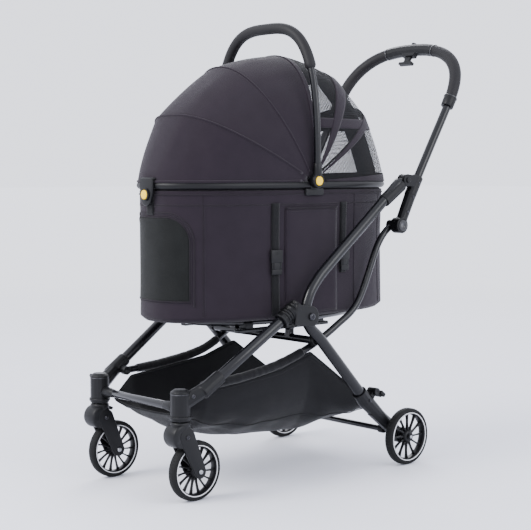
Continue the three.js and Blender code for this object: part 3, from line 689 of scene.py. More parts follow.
def make_ring_tree():
    """Repeats a unit round a line along X through a centre."""
    tree = bpy.data.node_groups.new("Round An Axle", "GeometryNodeTree")
    for label, kind in (
        ("Count", "NodeSocketInt"), ("Centre", "NodeSocketVector"),
        ("Unit", "NodeSocketObject"), ("Material", "NodeSocketMaterial"),
    ):
        tree.interface.new_socket(label, in_out="INPUT", socket_type=kind)
    tree.interface.new_socket("Geometry", in_out="OUTPUT", socket_type="NodeSocketGeometry")
    source, sink = tree.nodes.new("NodeGroupInput"), tree.nodes.new("NodeGroupOutput")
    line = tree.nodes.new("GeometryNodeMeshLine")
    line.inputs["Offset"].default_value = (0, 0, 0)
    index = tree.nodes.new("GeometryNodeInputIndex")
    share = tree.nodes.new("ShaderNodeMath")
    share.operation = "DIVIDE"
    turn = tree.nodes.new("ShaderNodeMath")
    turn.operation = "MULTIPLY"
    turn.inputs[1].default_value = 2 * math.pi
    angles = tree.nodes.new("ShaderNodeCombineXYZ")
    info = tree.nodes.new("GeometryNodeObjectInfo")
    place = tree.nodes.new("GeometryNodeInstanceOnPoints")
    realize = tree.nodes.new("GeometryNodeRealizeInstances")
    paint = tree.nodes.new("GeometryNodeSetMaterial")
    links = tree.links
    links.new(source.outputs["Count"], line.inputs["Count"])
    links.new(source.outputs["Centre"], line.inputs["Start Location"])
    links.new(index.outputs[0], share.inputs[0])
    links.new(source.outputs["Count"], share.inputs[1])
    links.new(share.outputs[0], turn.inputs[0])
    links.new(turn.outputs[0], angles.inputs["X"])
    links.new(source.outputs["Unit"], info.inputs["Object"])
    links.new(line.outputs[0], place.inputs["Points"])
    links.new(angles.outputs[0], place.inputs["Rotation"])
    links.new(info.outputs["Geometry"], place.inputs["Instance"])
    links.new(place.outputs[0], realize.inputs[0])
    links.new(realize.outputs[0], paint.inputs["Geometry"])
    links.new(source.outputs["Material"], paint.inputs["Material"])
    links.new(paint.outputs[0], sink.inputs["Geometry"])
    return tree


STITCH_TREE = make_stitch_tree()
RING_TREE = make_ring_tree()


def run_tree(piece, tree, **values):
    modifier = piece.modifiers.new("Repeat", "NODES")
    modifier.node_group = tree
    ids = input_ids(tree)
    for label, value in values.items():
        modifier[ids[label]] = value
    return bake_modifiers(piece)


def hide_unit(piece):
    """Takes a unit that was repeated out of the scene."""
    bpy.data.objects.remove(piece)


def stitch_unit(length=0.0032, width=0.0008):
    """One thread stitch lying along Z, slightly humped."""
    path = [Vector((0, 0, (s - 0.5) * length)) for s in (0, 0.25, 0.5, 0.75, 1)]
    shape = (0.35, 0.9, 1.0, 0.9, 0.35)
    return sweep("stitch_unit", path, lambda s: width / 2 * shape[round(s * 4)], THREAD, 6)


def stitches(name, lines, step=0.0045, length=0.0032, width=0.0008):
    """Rows of stitches along lists of points."""
    unit = stitch_unit(length, width)
    vertices, edges = [], []
    for line in lines:
        start = len(vertices)
        vertices += [tuple(p) for p in line]
        edges += [(start + i, start + i + 1) for i in range(len(line) - 1)]
    mesh = bpy.data.meshes.new(name)
    mesh.from_pydata(vertices, edges, [])
    piece = bpy.data.objects.new(name, mesh)
    bpy.context.scene.collection.objects.link(piece)
    run_tree(piece, STITCH_TREE, Step=step, Unit=unit, Material=THREAD)
    hide_unit(unit)
    smooth_all(piece)
    return piece


def smooth_all(piece):
    piece.data.polygons.foreach_set("use_smooth", [True] * len(piece.data.polygons))
    piece.data.update()


def repeat_round(name, unit, count, centre, material):
    """A unit made about the origin, repeated round an axle and left at the centre."""
    mesh = bpy.data.meshes.new(name)
    piece = bpy.data.objects.new(name, mesh)
    bpy.context.scene.collection.objects.link(piece)
    run_tree(piece, RING_TREE, Count=count, Centre=tuple(centre), Unit=unit, Material=material)
    hide_unit(unit)
    smooth_all(piece)
    return piece


def screw(name, centre, side, radius, material=DARK_STEEL):
    """A domed screw head with a socket, facing along X."""
    r = radius
    tiny = 1e-5
    outline = [
        (0, tiny), (0, r), (0.25, r), (0.55, r * 0.92), (0.8, r * 0.72), (0.9, r * 0.52),
        (0.9, r * 0.45), (0.35, r * 0.42), (0.35, tiny),
    ]
    profile = [(side * offset * r * 0.75, radius) for offset, radius in outline]
    return turned(name, centre, profile, material, 24)


# ---------------------------------------------------------------- moulded pieces kept from the frame
MOULDED = {
    "rear_foot": PLASTIC, "upper_knuckle": PLASTIC, "pivot_housing": PLASTIC, "caster_post": PLASTIC,
    "hinge_block": PLASTIC,
}


def mould(node, material, grid, rounds=2):
    """Gives a kept piece the soft edges of a moulding: an even skin over its own mesh, relaxed a little."""
    piece = nodes[node]
    piece.data.materials.clear()
    piece.data.materials.append(material)
    weld = piece.modifiers.new("Weld", "WELD")
    weld.merge_threshold = 0.00001
    skin = piece.modifiers.new("Even skin", "REMESH")
    skin.mode = "VOXEL"
    skin.voxel_size = grid
    skin.use_smooth_shade = True
    relax = piece.modifiers.new("Relax", "SMOOTH")
    relax.factor = 0.5
    relax.iterations = rounds


def mould_all():
    grid = 0.0013
    for label, material in MOULDED.items():
        for side, _ in SIDES:
            mould(f"{label}_{side}", material, grid)
    mould("handle_module", PLASTIC, grid)
    mould("release_trigger", PLASTIC, 0.001, 4)
    mould("release_button", GLOSS, 0.0006, 4)
    mould("carrier_dock", FRAME_PAINT, 0.0018, 4)


# ---------------------------------------------------------------- tubular frame
NECK = [
    (0.628, 0.675), (0.560, 0.620), (0.480, 0.557), (0.400, 0.494), (0.358, 0.458), (0.330, 0.420),
    (0.321, 0.378), (0.336, 0.350), (0.362, 0.327), (0.407, 0.280), (0.453, 0.231), (0.500, 0.181),
]
FRONT_TUBE_LOW = (0.052, 0.241)
FRONT_TUBE_TOP = (0.283, 0.394)
CROSSBAR = (0.002, 0.203)
CROSS_TUBE = (0.598, 0.083)


def front_tube_x(y):
    low = 0.060
    return BRACKET_X + (SIDE_X - BRACKET_X) * (y - low) / (FRONT_TUBE_TOP[0] - low)


def on_front_tube(side, distance):
    place = along(FRONT_TUBE_LOW, FRONT_TUBE_TOP, distance)
    return side_at(side * front_tube_x(place[0]), place)


def make_side_tube(label, side):
    x = side * SIDE_X
    path = flowing([side_at(x, p) for p in NECK], 90)
    tube = sweep("tube", path, lambda s: 0.012 + 0.001 * smooth_step((s - 0.55) / 0.2), FRAME_PAINT, 28)
    boss = disc("boss", side_at(x, MAIN_PIVOT), -0.0120, 0.0120, 0.0175, PLASTIC, 48, 0.0015)
    bracket_inner = SIDE_X - 0.020
    low, high = sorted((side * bracket_inner, side * (SIDE_X - 0.008)))
    bracket = disc("bracket", side_at(0, BEAM), low, high, 0.0105, PLASTIC)
    heads = []
    for face in (-1, 1):
        heads.append(screw("head", side_at(x + face * 0.0193, MAIN_PIVOT), face, 0.0085))
    pin = disc("pin", side_at(x, MAIN_PIVOT), -0.0195, 0.0195, 0.004, DARK_STEEL, 20)
    piece = join_pieces(f"side_tube_fine_{label}", [tube, boss, bracket, pin, *heads])
    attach(piece, "frame")
    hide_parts(f"side_tube_{label}")


def make_front_tube(label, side):
    length = math.dist(FRONT_TUBE_LOW, FRONT_TUBE_TOP)
    low, top = on_front_tube(side, 0), on_front_tube(side, length)
    piece = straight(f"front_tube_fine_{label}", low, top, 0.012, FRAME_PAINT, 28)
    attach(piece, "front_frame")
    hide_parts(f"front_tube_{label}")


def link_points(side):
    route = [
        (LINK_X, *LINK_PIVOT), (LINK_X, 0.605, 0.556), (LINK_X, 0.581, 0.528), (LINK_X, 0.507, 0.388),
        (0.164, 0.450, 0.346), (0.157, 0.387, 0.309),
        (LINK_LOW_X, 0.300, 0.272), (LINK_LOW_X, 0.180, 0.251), (LINK_LOW_X, *FRONT_LINK_PIVOT),
    ]
    return [at(side * x, y, z) for x, y, z in route]


def make_link(label, side):
    tube = sweep("tube", flowing(link_points(side), 90), 0.008, FRAME_PAINT, 22)
    eye_span = sorted((side * (LINK_X - 0.0085), side * (LINK_X + 0.0092)))
    foot_span = sorted((side * (LINK_LOW_X - 0.008), side * (LINK_LOW_X + 0.008)))
    eye = disc("eye", side_at(0, LINK_PIVOT), *eye_span, 0.0125, PLASTIC, 32)
    foot = disc("foot", side_at(0, FRONT_LINK_PIVOT), *foot_span, 0.010, PLASTIC, 32)
    piece = join_pieces(f"fold_link_fine_{label}", [tube, eye, foot])
    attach(piece, f"link_{label}")
    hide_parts(f"fold_link_{label}")


def make_hem_sleeve(label, side):
    """The basket's hem where it wraps round the link's bar."""
    path = [p for p in flowing(link_points(side), 200) if 0.098 < p.y - CASTER_Y < 0.352]

    def swell(share):
        ruck = noise.noise(Vector((share * 30, side * 2.0, 0.7))) * 0.0007
        return 0.0102 + ruck - 0.0012 * (1 - smooth_step(min(share, 1 - share) / 0.02))

    sleeve = sweep("sleeve", path, swell, BASKET_CLOTH, 20)
    below = [p + Vector((-side * 0.0040, 0, -0.0095)) for p in path[4:-4]]
    rows = stitches("rows", [below], 0.0050)
    piece = join_pieces(f"hem_sleeve_{label}", [sleeve, rows])
    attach(piece, f"link_{label}")


def make_pedal(label, side):
    """Brake pedal on the rear foot: a round hinge, a short arm and a ribbed pad."""
    x = side * REAR_FOOT_X
    turn = Matrix.Rotation(math.radians(-38), 3, "X")
    hub = disc("hub", side_at(0, PEDAL_PIVOT), x - 0.0135, x + 0.0135, 0.0088, PLASTIC, 32, 0.001)
    arm = block("arm", side_at(x, (0.5535, 0.1780)), (0.022, 0.026, 0.0085), PLASTIC, turn, 0.002)
    middle = side_at(x, (0.5625, 0.1760))
    pad = block("pad", middle, (0.034, 0.017, 0.010), PLASTIC, turn, 0.003)
    ribs = []
    for k in (-1, 0, 1):
        place = middle + turn @ Vector((0, 0.0045 * k, 0.0052))
        ribs.append(block("rib", place, (0.028, 0.0016, 0.0014), PLASTIC, turn, 0.0005))
    piece = join_pieces(f"brake_pedal_fine_{label}", [hub, arm, pad, *ribs])
    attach(piece, f"brake_{label}")
    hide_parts(f"brake_pedal_{label}")


def make_cross_tubes():
    bar = straight("bar", side_at(-0.122, CROSSBAR), side_at(0.122, CROSSBAR), 0.0085, GLOSS, 24)
    cones = []
    for side in (-1, 1):
        inner, outer = side_at(side * 0.092, CROSSBAR), side_at(side * 0.1262, CROSSBAR)
        cones.append(straight("cone", inner, outer, 0.0088, PLASTIC, 28, 0.0125))
    front = join_pieces("front_crossbar_fine", [bar, *cones])
    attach(front, "front_frame")
    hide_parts("front_crossbar")
    reach = SIDE_X - 0.015
    tube = straight("tube", side_at(-reach, CROSS_TUBE), side_at(reach, CROSS_TUBE), 0.007, GLOSS, 24)
    sockets = []
    for side in (-1, 1):
        inner, outer = side_at(side * (reach - 0.016), CROSS_TUBE), side_at(side * reach, CROSS_TUBE)
        sockets.append(straight("socket", inner, outer, 0.010, PLASTIC, 28))
    rear = join_pieces("rear_cross_tube_fine", [tube, *sockets])
    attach(rear, "frame")
    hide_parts("rear_cross_tube")


def make_frame_details(label, side):
    """Screws, collars and seams on the moulded joints, and the ribs on the folding hinge's grip."""
    x = side * SIDE_X
    front = []
    half_rib = (on_front_tube(side, 0.28) - on_front_tube(side, 0.24)).normalized() * 0.0014
    for distance in np.linspace(250, 284, 6) / 1000:
        centre = on_front_tube(side, distance)
        front.append(straight("rib", centre - half_rib, centre + half_rib, 0.0190, PLASTIC, 32))
    front.append(screw("screw", side_at(side * (CASTER_X + 0.0395), (0.004, 0.233)), side, 0.0042))
    collar = [
        (-0.003, 0.0200), (-0.003, 0.0232), (-0.002, 0.0238),
        (0.002, 0.0238), (0.003, 0.0232), (0.003, 0.0200),
    ]
    front.append(turned("collar", at(side * CASTER_X, 0, 0.1845), collar, PLASTIC, 48, "z"))
    seam = [(-0.0006, 0.0200), (-0.0006, 0.0216), (0.0006, 0.0216), (0.0006, 0.0200)]
    front.append(turned("seam", at(side * CASTER_X, 0, 0.2340), seam, DARK_STEEL, 48, "z"))
    piece = join_pieces(f"caster_trim_{label}", front)
    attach(piece, "front_frame")
    rear = []
    for y, z in ((0.515, 0.166), (0.590, 0.100)):
        rear.append(screw("screw", side_at(x + side * 0.0172, (y, z)), side, 0.0034))
    outer_face = side_at(side * (REAR_FOOT_X + 0.0112), REAR_AXLE)
    rear.append(disc("axle_ring", outer_face, -0.001, 0.001, 0.0125, DARK_STEEL))
    piece = join_pieces(f"foot_trim_{label}", rear)
    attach(piece, "frame")
    hinge = []
    for y, z in ((0.684, 0.672), (0.662, 0.640), (0.644, 0.604)):
        hinge.append(screw("screw", side_at(x + side * 0.0132, (y, z)), side, 0.0036))
    cap_centre = side_at(x + side * 0.0112, LINK_PIVOT)
    hinge.append(disc("cap", cap_centre, -0.0015, 0.0015, 0.0135, GLOSS, 40, 0.001))
    piece = join_pieces(f"hinge_trim_{label}", hinge)
    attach(piece, "handle")


# ---------------------------------------------------------------- wheels
def wheel_profiles(radius):
    """Closed outlines of the tyre, the rim and the hub, as (offset along the axle, radius) pairs."""
    w = WHEEL_WIDTH / 2
    tyre_profile = [
        (-w * 0.62, radius * 0.845), (-w * 0.93, radius * 0.86), (-w * 0.985, radius * 0.90),
        (-w * 0.93, radius * 0.95), (-w * 0.72, radius * 0.985), (-w * 0.35, radius * 0.998),
        (0, radius), (w * 0.35, radius * 0.998), (w * 0.72, radius * 0.985), (w * 0.93, radius * 0.95),
        (w * 0.985, radius * 0.90), (w * 0.93, radius * 0.86), (w * 0.62, radius * 0.845),
    ]
    rim_profile = [
        (-w * 0.80, radius * 0.80), (-w * 0.90, radius * 0.815), (-w * 0.90, radius * 0.845),
        (-w * 0.6, radius * 0.85), (w * 0.6, radius * 0.85), (w * 0.90, radius * 0.845),
        (w * 0.90, radius * 0.815), (w * 0.80, radius * 0.80), (w * 0.45, radius * 0.775),
        (-w * 0.45, radius * 0.775),
    ]
    hub_profile = [
        (-w * 0.85, 0.0048), (-w * 0.85, radius * 0.17), (-w * 0.7, radius * 0.2),
        (-w * 0.3, radius * 0.23), (w * 0.3, radius * 0.23),
        (w * 0.7, radius * 0.2), (w * 0.85, radius * 0.17), (w * 0.85, 0.0048),
    ]
    return tyre_profile, rim_profile, hub_profile


BLADE_SECTION = ((-1, -0.6), (-0.6, -1), (0.6, -1), (1, -0.6), (1, 0.6), (0.6, 1), (-0.6, 1), (-1, 0.6))


def spoke_unit(radius):
    """One blade from the hub to the rim, standing along Z and leaning a little."""
    inner, outer = radius * 0.2, radius * 0.80
    vertices, faces = [], []
    stations = 7
    for i in range(stations):
        share = i / (stations - 1)
        z = inner + (outer - inner) * share
        half_width = radius * (0.040 - 0.018 * math.sin(share * math.pi))
        half_depth = 0.0048 - 0.0014 * math.sin(share * math.pi)
        lean = math.radians(14) * (1 - share)
        for u, v in BLADE_SECTION:
            y = v * half_width + math.sin(lean) * z * 0.35
            vertices.append((u * half_depth, y, z))
        if i:
            a, b = (i - 1) * 8, i * 8
            for k in range(8):
                n = (k + 1) % 8
                faces.append((a + k, a + n, b + n, b + k))
    faces.append(tuple(range(8))[::-1])
    faces.append(tuple((stations - 1) * 8 + k for k in range(8)))
    return face_outwards(new_piece("spoke_unit", vertices, faces, WHEEL_PLASTIC))


def tread_unit(radius):
    """One raised tread block across the tyre's crown."""
    vertices, faces = [], []
    half = 0.0055
    for v in (-1, 1):
        for x in (-half, half):
            for z in (radius - 0.0012, radius + 0.00005 - abs(x) * 0.02):
                vertices.append((x + v * 0.0008, v * 0.0013, z))
    faces = [(0, 1, 3, 2), (4, 6, 7, 5), (0, 4, 5, 1), (2, 3, 7, 6), (1, 5, 7, 3), (0, 2, 6, 4)]
    return face_outwards(new_piece("tread_unit", vertices, faces, RUBBER, smooth=False))


def make_wheel(label, kind, centre, radius, spokes):
    """Tyre with its treads, and the wheel with its rim, blades, hub and white bands."""
    tyre_profile, rim_profile, hub_profile = wheel_profiles(radius)
    tyre = turned("tyre", centre, tyre_profile, RUBBER, 96)
    bands = []
    for face in (-1, 1):
        x = face * WHEEL_WIDTH / 2
        band = [
            (x * 0.80, radius * 0.826), (x * 0.985, radius * 0.826), (x * 0.998, radius * 0.834),
            (x * 0.998, radius * 0.845), (x * 0.985, radius * 0.852), (x * 0.80, radius * 0.852),
        ]
        bands.append(turned("band", centre, band, WHITE_BAND, 96))
    treads = repeat_round("treads", tread_unit(radius), 56, centre, RUBBER)
    tyre_piece = join_pieces(f"{kind}_tyre_fine_{label}", [tyre, treads])
    rim = turned("rim", centre, rim_profile, WHEEL_PLASTIC, 96)
    hub = turned("hub", centre, hub_profile, WHEEL_PLASTIC, 48)
    blades = repeat_round("blades", spoke_unit(radius), spokes, centre, WHEEL_PLASTIC)
    wheel_piece = join_pieces(f"{kind}_wheel_fine_{label}", [rim, hub, blades, *bands])
    for piece, node, slot in ((tyre_piece, "tyre", "tyre"), (wheel_piece, "wheel", "wheel")):
        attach(piece, f"{kind}_wheel_{label}")
        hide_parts(f"{kind}_{node}_{label}")


def capsule_plate(name, start, end, start_radius, end_radius, x_low, x_high):
    """A flat side plate standing across X, round at both ends, between two (y, z) places."""
    heading = math.atan2(end[1] - start[1], end[0] - start[0])
    outline = []
    for place, radius, offset in ((start, start_radius, math.pi / 2), (end, end_radius, -math.pi / 2)):
        for i in range(15):
            turn = heading + offset + math.pi * i / 14
            outline.append((place[0] + radius * math.cos(turn), place[1] + radius * math.sin(turn)))
    near, far = ([at(x, y, z) for y, z in outline] for x in (x_low, x_high))
    return plate_between(name, near, far, PLASTIC, 0.0014)


def make_fork(label, side):
    """Caster fork: swivel neck, drum-shaped head cover, two side plates and the lock tab."""
    x = side * CASTER_X
    neck = [
        (0.148, 1e-5), (0.148, 0.0205), (0.170, 0.0212),
        (0.1738, 0.0206), (0.1752, 0.0190), (0.1752, 1e-5),
    ]
    parts = [turned("neck", at(x, 0, 0), neck, PLASTIC, 48, "z")]
    head = side_at(x, (-0.006, 0.1455))
    parts.append(disc("drum", head, -0.0205, 0.0205, 0.0262, PLASTIC, 56, 0.0045))
    axle = (CASTER_TRAIL, FRONT_WHEEL_R)
    for face in (-1, 1):
        low, high = sorted((x + face * 0.0160, x + face * FORK_HALF_WIDTH))
        parts.append(capsule_plate("side_plate", FORK_HEAD, axle, 0.0195, 0.0150, low, high))
    turn = Matrix.Rotation(math.radians(-22), 3, "X")
    parts.append(block("tab", at(x, 0.0235, 0.1625), (0.014, 0.018, 0.0075), PLASTIC, turn, 0.002))
    parts.append(straight("stem", at(x, 0, 0.170), at(x, 0, 0.208), 0.0058, STEEL, 20))
    piece = join_pieces(f"caster_fork_fine_{label}", parts)
    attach(piece, f"caster_{label}")
    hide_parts(f"caster_fork_{label}")


def make_axle_caps(label, side):
    """Bolt heads at the rear axle's ends and on both sides of the caster fork."""
    outer = REAR_WHEEL_X + WHEEL_WIDTH / 2 + 0.0006
    cap = disc("cap", side_at(side * outer, REAR_AXLE), *sorted((0, side * 0.003)), 0.0075, PLASTIC, 32)
    bolt = screw("bolt", side_at(side * (outer + 0.0028), REAR_AXLE), side, 0.0042, STEEL)
    piece = join_pieces(f"rear_axle_cap_{label}", [cap, bolt])
    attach(piece, "frame")
    heads = []
    for face in (-1, 1):
        x = side * CASTER_X + face * FORK_HALF_WIDTH
        heads.append(screw("bolt", at(x, CASTER_TRAIL, FRONT_WHEEL_R), face, 0.0052, STEEL))
        heads.append(screw("pivot", side_at(x, FORK_HEAD), face, 0.0046))
    piece = join_pieces(f"fork_bolts_{label}", heads)
    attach(piece, f"caster_{label}")


# ---------------------------------------------------------------- push handle
HANDLE_LOW = (0.672, 0.652)
HANDLE_COLLAR = (0.806, 0.871)
HANDLE_DIR = (0.522, 0.853)
U_RISE = 0.162
MODULE_SPAN = (0.4, 0.6)


def handle_at(rise):
    """The (y, z) place this far up the bow, which leans a little more upright than the handle's legs."""
    return (
        HANDLE_COLLAR[0] + (HANDLE_DIR[0] - 0.04) * rise,
        HANDLE_COLLAR[1] + (HANDLE_DIR[1] + 0.02) * rise,
    )


def bow_point(u):
    x, rise = rounded(u * math.pi, SIDE_X, U_RISE, 2.5)
    return side_at(x, handle_at(rise))


def bow_path(start, end, count):
    coarse = [bow_point(start + (end - start) * i / 40) for i in range(41)]
    return flowing(coarse, count)


def make_handle_tube():
    middle = along(HANDLE_LOW, HANDLE_COLLAR, 0.128)
    points = [side_at(SIDE_X, HANDLE_LOW), side_at(SIDE_X, middle)]
    points += [bow_point(i / 24) for i in range(25)]
    points += [side_at(-SIDE_X, middle), side_at(-SIDE_X, HANDLE_LOW)]
    piece = sweep("handle_tube_fine", flowing(points, 220), 0.010, FRAME_PAINT, 26)
    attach(piece, "handle")
    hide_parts("handle_tube")


def sewn_seam(name, path, swell, centre, welt_reach, welt_radius, spread):
    """A welt along a sleeve's inner side with a row of stitches on each side of it."""
    lines = [[], []]
    welt = []
    last = len(path) - 1
    for i in range(3, len(path) - 3):
        point = path[i]
        tangent = (path[i + 1] - path[i - 1]).normalized()
        towards = centre - point
        towards = (towards - tangent * towards.dot(tangent)).normalized()
        across = tangent.cross(towards)
        welt.append(point + towards * welt_reach)
        for line, sign in zip(lines, (-1, 1)):
            ray = (towards * 0.97 + across * sign * spread).normalized()
            line.append(point + ray * (swell(i / last) + 0.0001))
    return [sweep("welt", welt, welt_radius, LEATHER, 8), stitches(name, lines, 0.0048, 0.0034, 0.0008)]


def make_grip(label, side):
    """Stitched sleeve with its inner seam, a collar below and a ring where it meets the housing."""
    start, end = (0.012, MODULE_SPAN[0] - 0.004) if side > 0 else (0.988, MODULE_SPAN[1] + 0.004)
    path = bow_path(start, end, 90)

    def swell(share):
        crown = 1 - 0.05 * (2 * share - 1) ** 2
        close = 0.55 + 0.45 * smooth_step(min(share, 1 - share) / 0.012)
        return 0.0148 * crown * close

    sleeve = sweep("sleeve", path, swell, LEATHER, 36)
    seam = sewn_seam("grip_rows", path, swell, side_at(0, HANDLE_COLLAR), 0.0141, 0.0011, 0.24)
    low = side_at(side * SIDE_X, along(HANDLE_COLLAR, HANDLE_LOW, 0.016))
    top = side_at(side * SIDE_X, handle_at(0.014))
    collar = straight("collar", low, top, 0.0155, PLASTIC, 36, 0.0162)
    lip = straight("lip", top.lerp(low, 0.18), top.lerp(low, 0.05), 0.0170, GLOSS, 36)
    tip = path[-1]
    way = (tip - path[-3]).normalized()
    ring = straight("ring", tip - way * 0.004, tip + way * 0.001, 0.0158, GLOSS, 36)
    piece = join_pieces(f"grip_fine_{label}", [sleeve, *seam, collar, lip, ring])
    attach(piece, "handle")
    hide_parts(f"grip_{label}")


# ---------------------------------------------------------------- carry bail
def hoop_point(u, angle, reach, power, half_width):
    x, out = rounded(u * math.pi, half_width, reach, power)
    tilt = math.radians(angle)
    return at(x, CARRIER_AXIS[0] - out * math.cos(tilt), CARRIER_AXIS[1] + out * math.sin(tilt))


def hoop_path(angle, reach, power, half_width, start=0.0, end=1.0, count=120):
    shares = [start + (end - start) * i / 64 for i in range(65)]
    return flowing([hoop_point(u, angle, reach, power, half_width) for u in shares], count)


def make_bail():
    path = hoop_path(90, BAIL_REACH, BAIL_POWER, BAIL_HALF_WIDTH, 0.0, 1.0, 200)
    path = [p for p in path if p.z > CARRIER_AXIS[1] + 0.002]
    tube = sweep("tube", path, 0.008, FRAME_PAINT, 24)
    parts = [tube]
    for side in (-1, 1):
        x = side * BAIL_HALF_WIDTH
        inner = side * -0.0080
        outer = side * 0.0068
        hub = [
            (inner, 0.0114), (inner, 0.0155), (inner + side * 0.001, 0.0165),
            (outer - side * 0.0012, 0.0165), (outer, 0.0152), (outer, 0.0114),
        ]
        parts.append(turned("hub", side_at(x, CARRIER_AXIS), hub, PLASTIC, 48))
        back_span = sorted((inner, inner + side * 0.002))
        parts.append(disc("back", side_at(x, CARRIER_AXIS), *back_span, 0.0120, PLASTIC, 32))
        y, z = CARRIER_AXIS
        low, high = at(x, y, z + 0.012), at(x, y, z + 0.040)
        parts.append(straight("sleeve", low, high, 0.0105, PLASTIC, 28, 0.0092))
    piece = join_pieces("bail_tube_fine", parts)
    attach(piece, "bail")
    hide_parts("bail_tube")


def make_bail_grip():
    path = hoop_path(90, BAIL_REACH, BAIL_POWER, BAIL_HALF_WIDTH, 0.2, 0.8, 110)

    def swell(share):
        return 0.0127 * (0.66 + 0.34 * smooth_step(min(share, 1 - share) / 0.015))

    sleeve = sweep("sleeve", path, swell, LEATHER, 32)
    seam = sewn_seam("bail_rows", path, swell, side_at(0, CARRIER_AXIS), 0.0120, 0.001, 0.26)
    piece = join_pieces("bail_grip_fine", [sleeve, *seam])
    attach(piece, "bail")
    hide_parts("bail_grip")


# ---------------------------------------------------------------- carrier: hard parts
def oval_path(half_x, half_y, z, count):
    coarse = []
    for i in range(72):
        x, y = rounded(i / 72 * 2 * math.pi, half_x, half_y, TUB_POWER)
        coarse.append(at(x, CARRIER_AXIS[0] + y, z))
    return flowing(coarse, count, closed=True)


def make_rim():
    """Oval tube above the tub, with the pivot hubs of the bail and the canopy."""
    path = oval_path(TUB_HALF_WIDTH - 0.003, TUB_HALF_LENGTH - 0.003, RIM_Z, 200)
    ring = sweep("ring", path, RIM_R, PLASTIC, 22, True)
    parts = [ring]
    outer = BAIL_HALF_WIDTH - 0.0085
    for side in (-1, 1):
        hub_span = sorted((side * (TUB_HALF_WIDTH - 0.0044), side * outer))
        parts.append(disc("hub", side_at(0, CARRIER_AXIS), *hub_span, 0.0132, PLASTIC, 48, 0.001))
        x = side * (TUB_HALF_WIDTH + 0.0025)
        low, high = at(x, CARRIER_AXIS[0], 0.654), at(x, CARRIER_AXIS[0], 0.664)
        parts.append(block("plate", low, (0.008, 0.056, 0.017), PLASTIC, None, 0.0035))
        parts.append(block("neck", high, (0.007, 0.026, 0.018), PLASTIC, None, 0.003))
    piece = join_pieces("rim_fine", parts)
    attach(piece, "carrier")
    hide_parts("rim_frame")


def make_base_ring():
    z = TUB_BOTTOM - 0.0073
    path = oval_path(TUB_HALF_WIDTH - 0.042, TUB_HALF_LENGTH - 0.110, z, 140)
    parts = [sweep("ring", path, 0.0065, GLOSS, 20, True)]
    dock_top = 0.3484
    for y in (0.230, 0.450):
        parts.append(straight("stay", at(-0.098, y, z - 0.002), at(0.098, y, z - 0.002), 0.0035, GLOSS, 16))
        for side in (-1, 1):
            centre = at(side * 0.096, y, (dock_top + z + 0.002) / 2)
            parts.append(block("foot", centre, (0.024, 0.024, z + 0.002 - dock_top), PLASTIC, None, 0.003))
    piece = join_pieces("base_ring_fine", parts)
    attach(piece, "carrier")
    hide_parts("base_ring")


def stand_along(piece, centre, way):
    """Turns a piece made upright about the origin to stand along a direction from a centre."""
    piece.data.transform(way.to_track_quat("Z", "Y").to_matrix().to_4x4())
    piece.data.transform(Matrix.Translation(centre))
    return piece


def button_cap(name, centre, way, radius, depth):
    """A slightly domed round button with a soft edge, standing along one axis from the centre."""
    rings = [
        (0, 0.0004), (0, 1), (0.72, 1), (0.88, 0.97),
        (0.97, 0.88), (1.0, 0.72), (1.07, 0.3), (1.08, 0.002),
    ]
    profile = [(offset * depth, max(share * radius, 1e-5)) for offset, share in rings]
    return face_outwards(stand_along(turned(name, Vector((0, 0, 0)), profile, YELLOW, 48, "z"), centre, way))


def make_bail_button(label, side):
    start = side_at(side * (BAIL_HALF_WIDTH - 0.0020), CARRIER_AXIS)
    piece = button_cap(f"bail_button_{label}_fine", start, Vector((side, 0, 0)), 0.0106, 0.0110)
    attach(piece, f"bail_button_{label}")
    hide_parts(f"bail_button_{label}")


def make_latch():
    """Tongue over the rim at the front, with a round push button in its lower end."""
    y = CARRIER_AXIS[0] - TUB_HALF_LENGTH
    outline = [(0.022, 0.6860), (0.0225, 0.664), (0.021, 0.652), (0.017, 0.642)]
    for i in range(9):
        turn = math.radians(-25 - 130 * i / 8)
        outline.append((0.0165 * math.cos(turn), 0.6405 + 0.0155 * math.sin(turn)))
    outline += [(-0.017, 0.642), (-0.021, 0.652), (-0.0225, 0.664), (-0.022, 0.6860)]
    front, back = ([at(x, depth, z) for x, z in outline] for depth in (y - 0.0115, y - 0.0055))
    tongue = plate_between("tongue", front, back, PLASTIC, 0.0018)
    over = block("over", at(0, y + 0.0005, 0.6845), (0.0440, 0.0170, 0.0055), PLASTIC, None, 0.0022)
    centre = at(0, y, 0.650)
    forward = Vector((0, -1, 0))
    profile = [(0, 0.0112), (0, 0.0136), (0.0042, 0.0136), (0.0052, 0.0128), (0.0052, 0.0112)]
    ring = turned("ring", Vector((0, 0, 0)), profile, PLASTIC, 48, "z")
    stand_along(ring, centre + forward * 0.0110, forward)
    body = join_pieces("latch_body_fine", [tongue, over, ring])
    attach(body, "carrier")
    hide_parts("latch_body")
    button = button_cap("latch_button_fine", centre + forward * 0.0112, forward, 0.0102, 0.0068)
    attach(button, "latch_button")
    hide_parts("latch_button")


# ---------------------------------------------------------------- carrier: sewn tub
def plan_table(count=720):
    """The tub's plan from its front centre towards +X: turns with their distance round."""
    turns = [2 * math.pi * i / count for i in range(count + 1)]
    places = [Vector(rounded(t - math.pi / 2, TUB_HALF_WIDTH, TUB_HALF_LENGTH, TUB_POWER)) for t in turns]
    runs = [0.0]
    for a, b in zip(places, places[1:]):
        runs.append(runs[-1] + (b - a).length)
    return np.array(turns), np.array(runs)


PLAN_TURNS, PLAN_RUNS = plan_table()
GIRTH = float(PLAN_RUNS[-1])


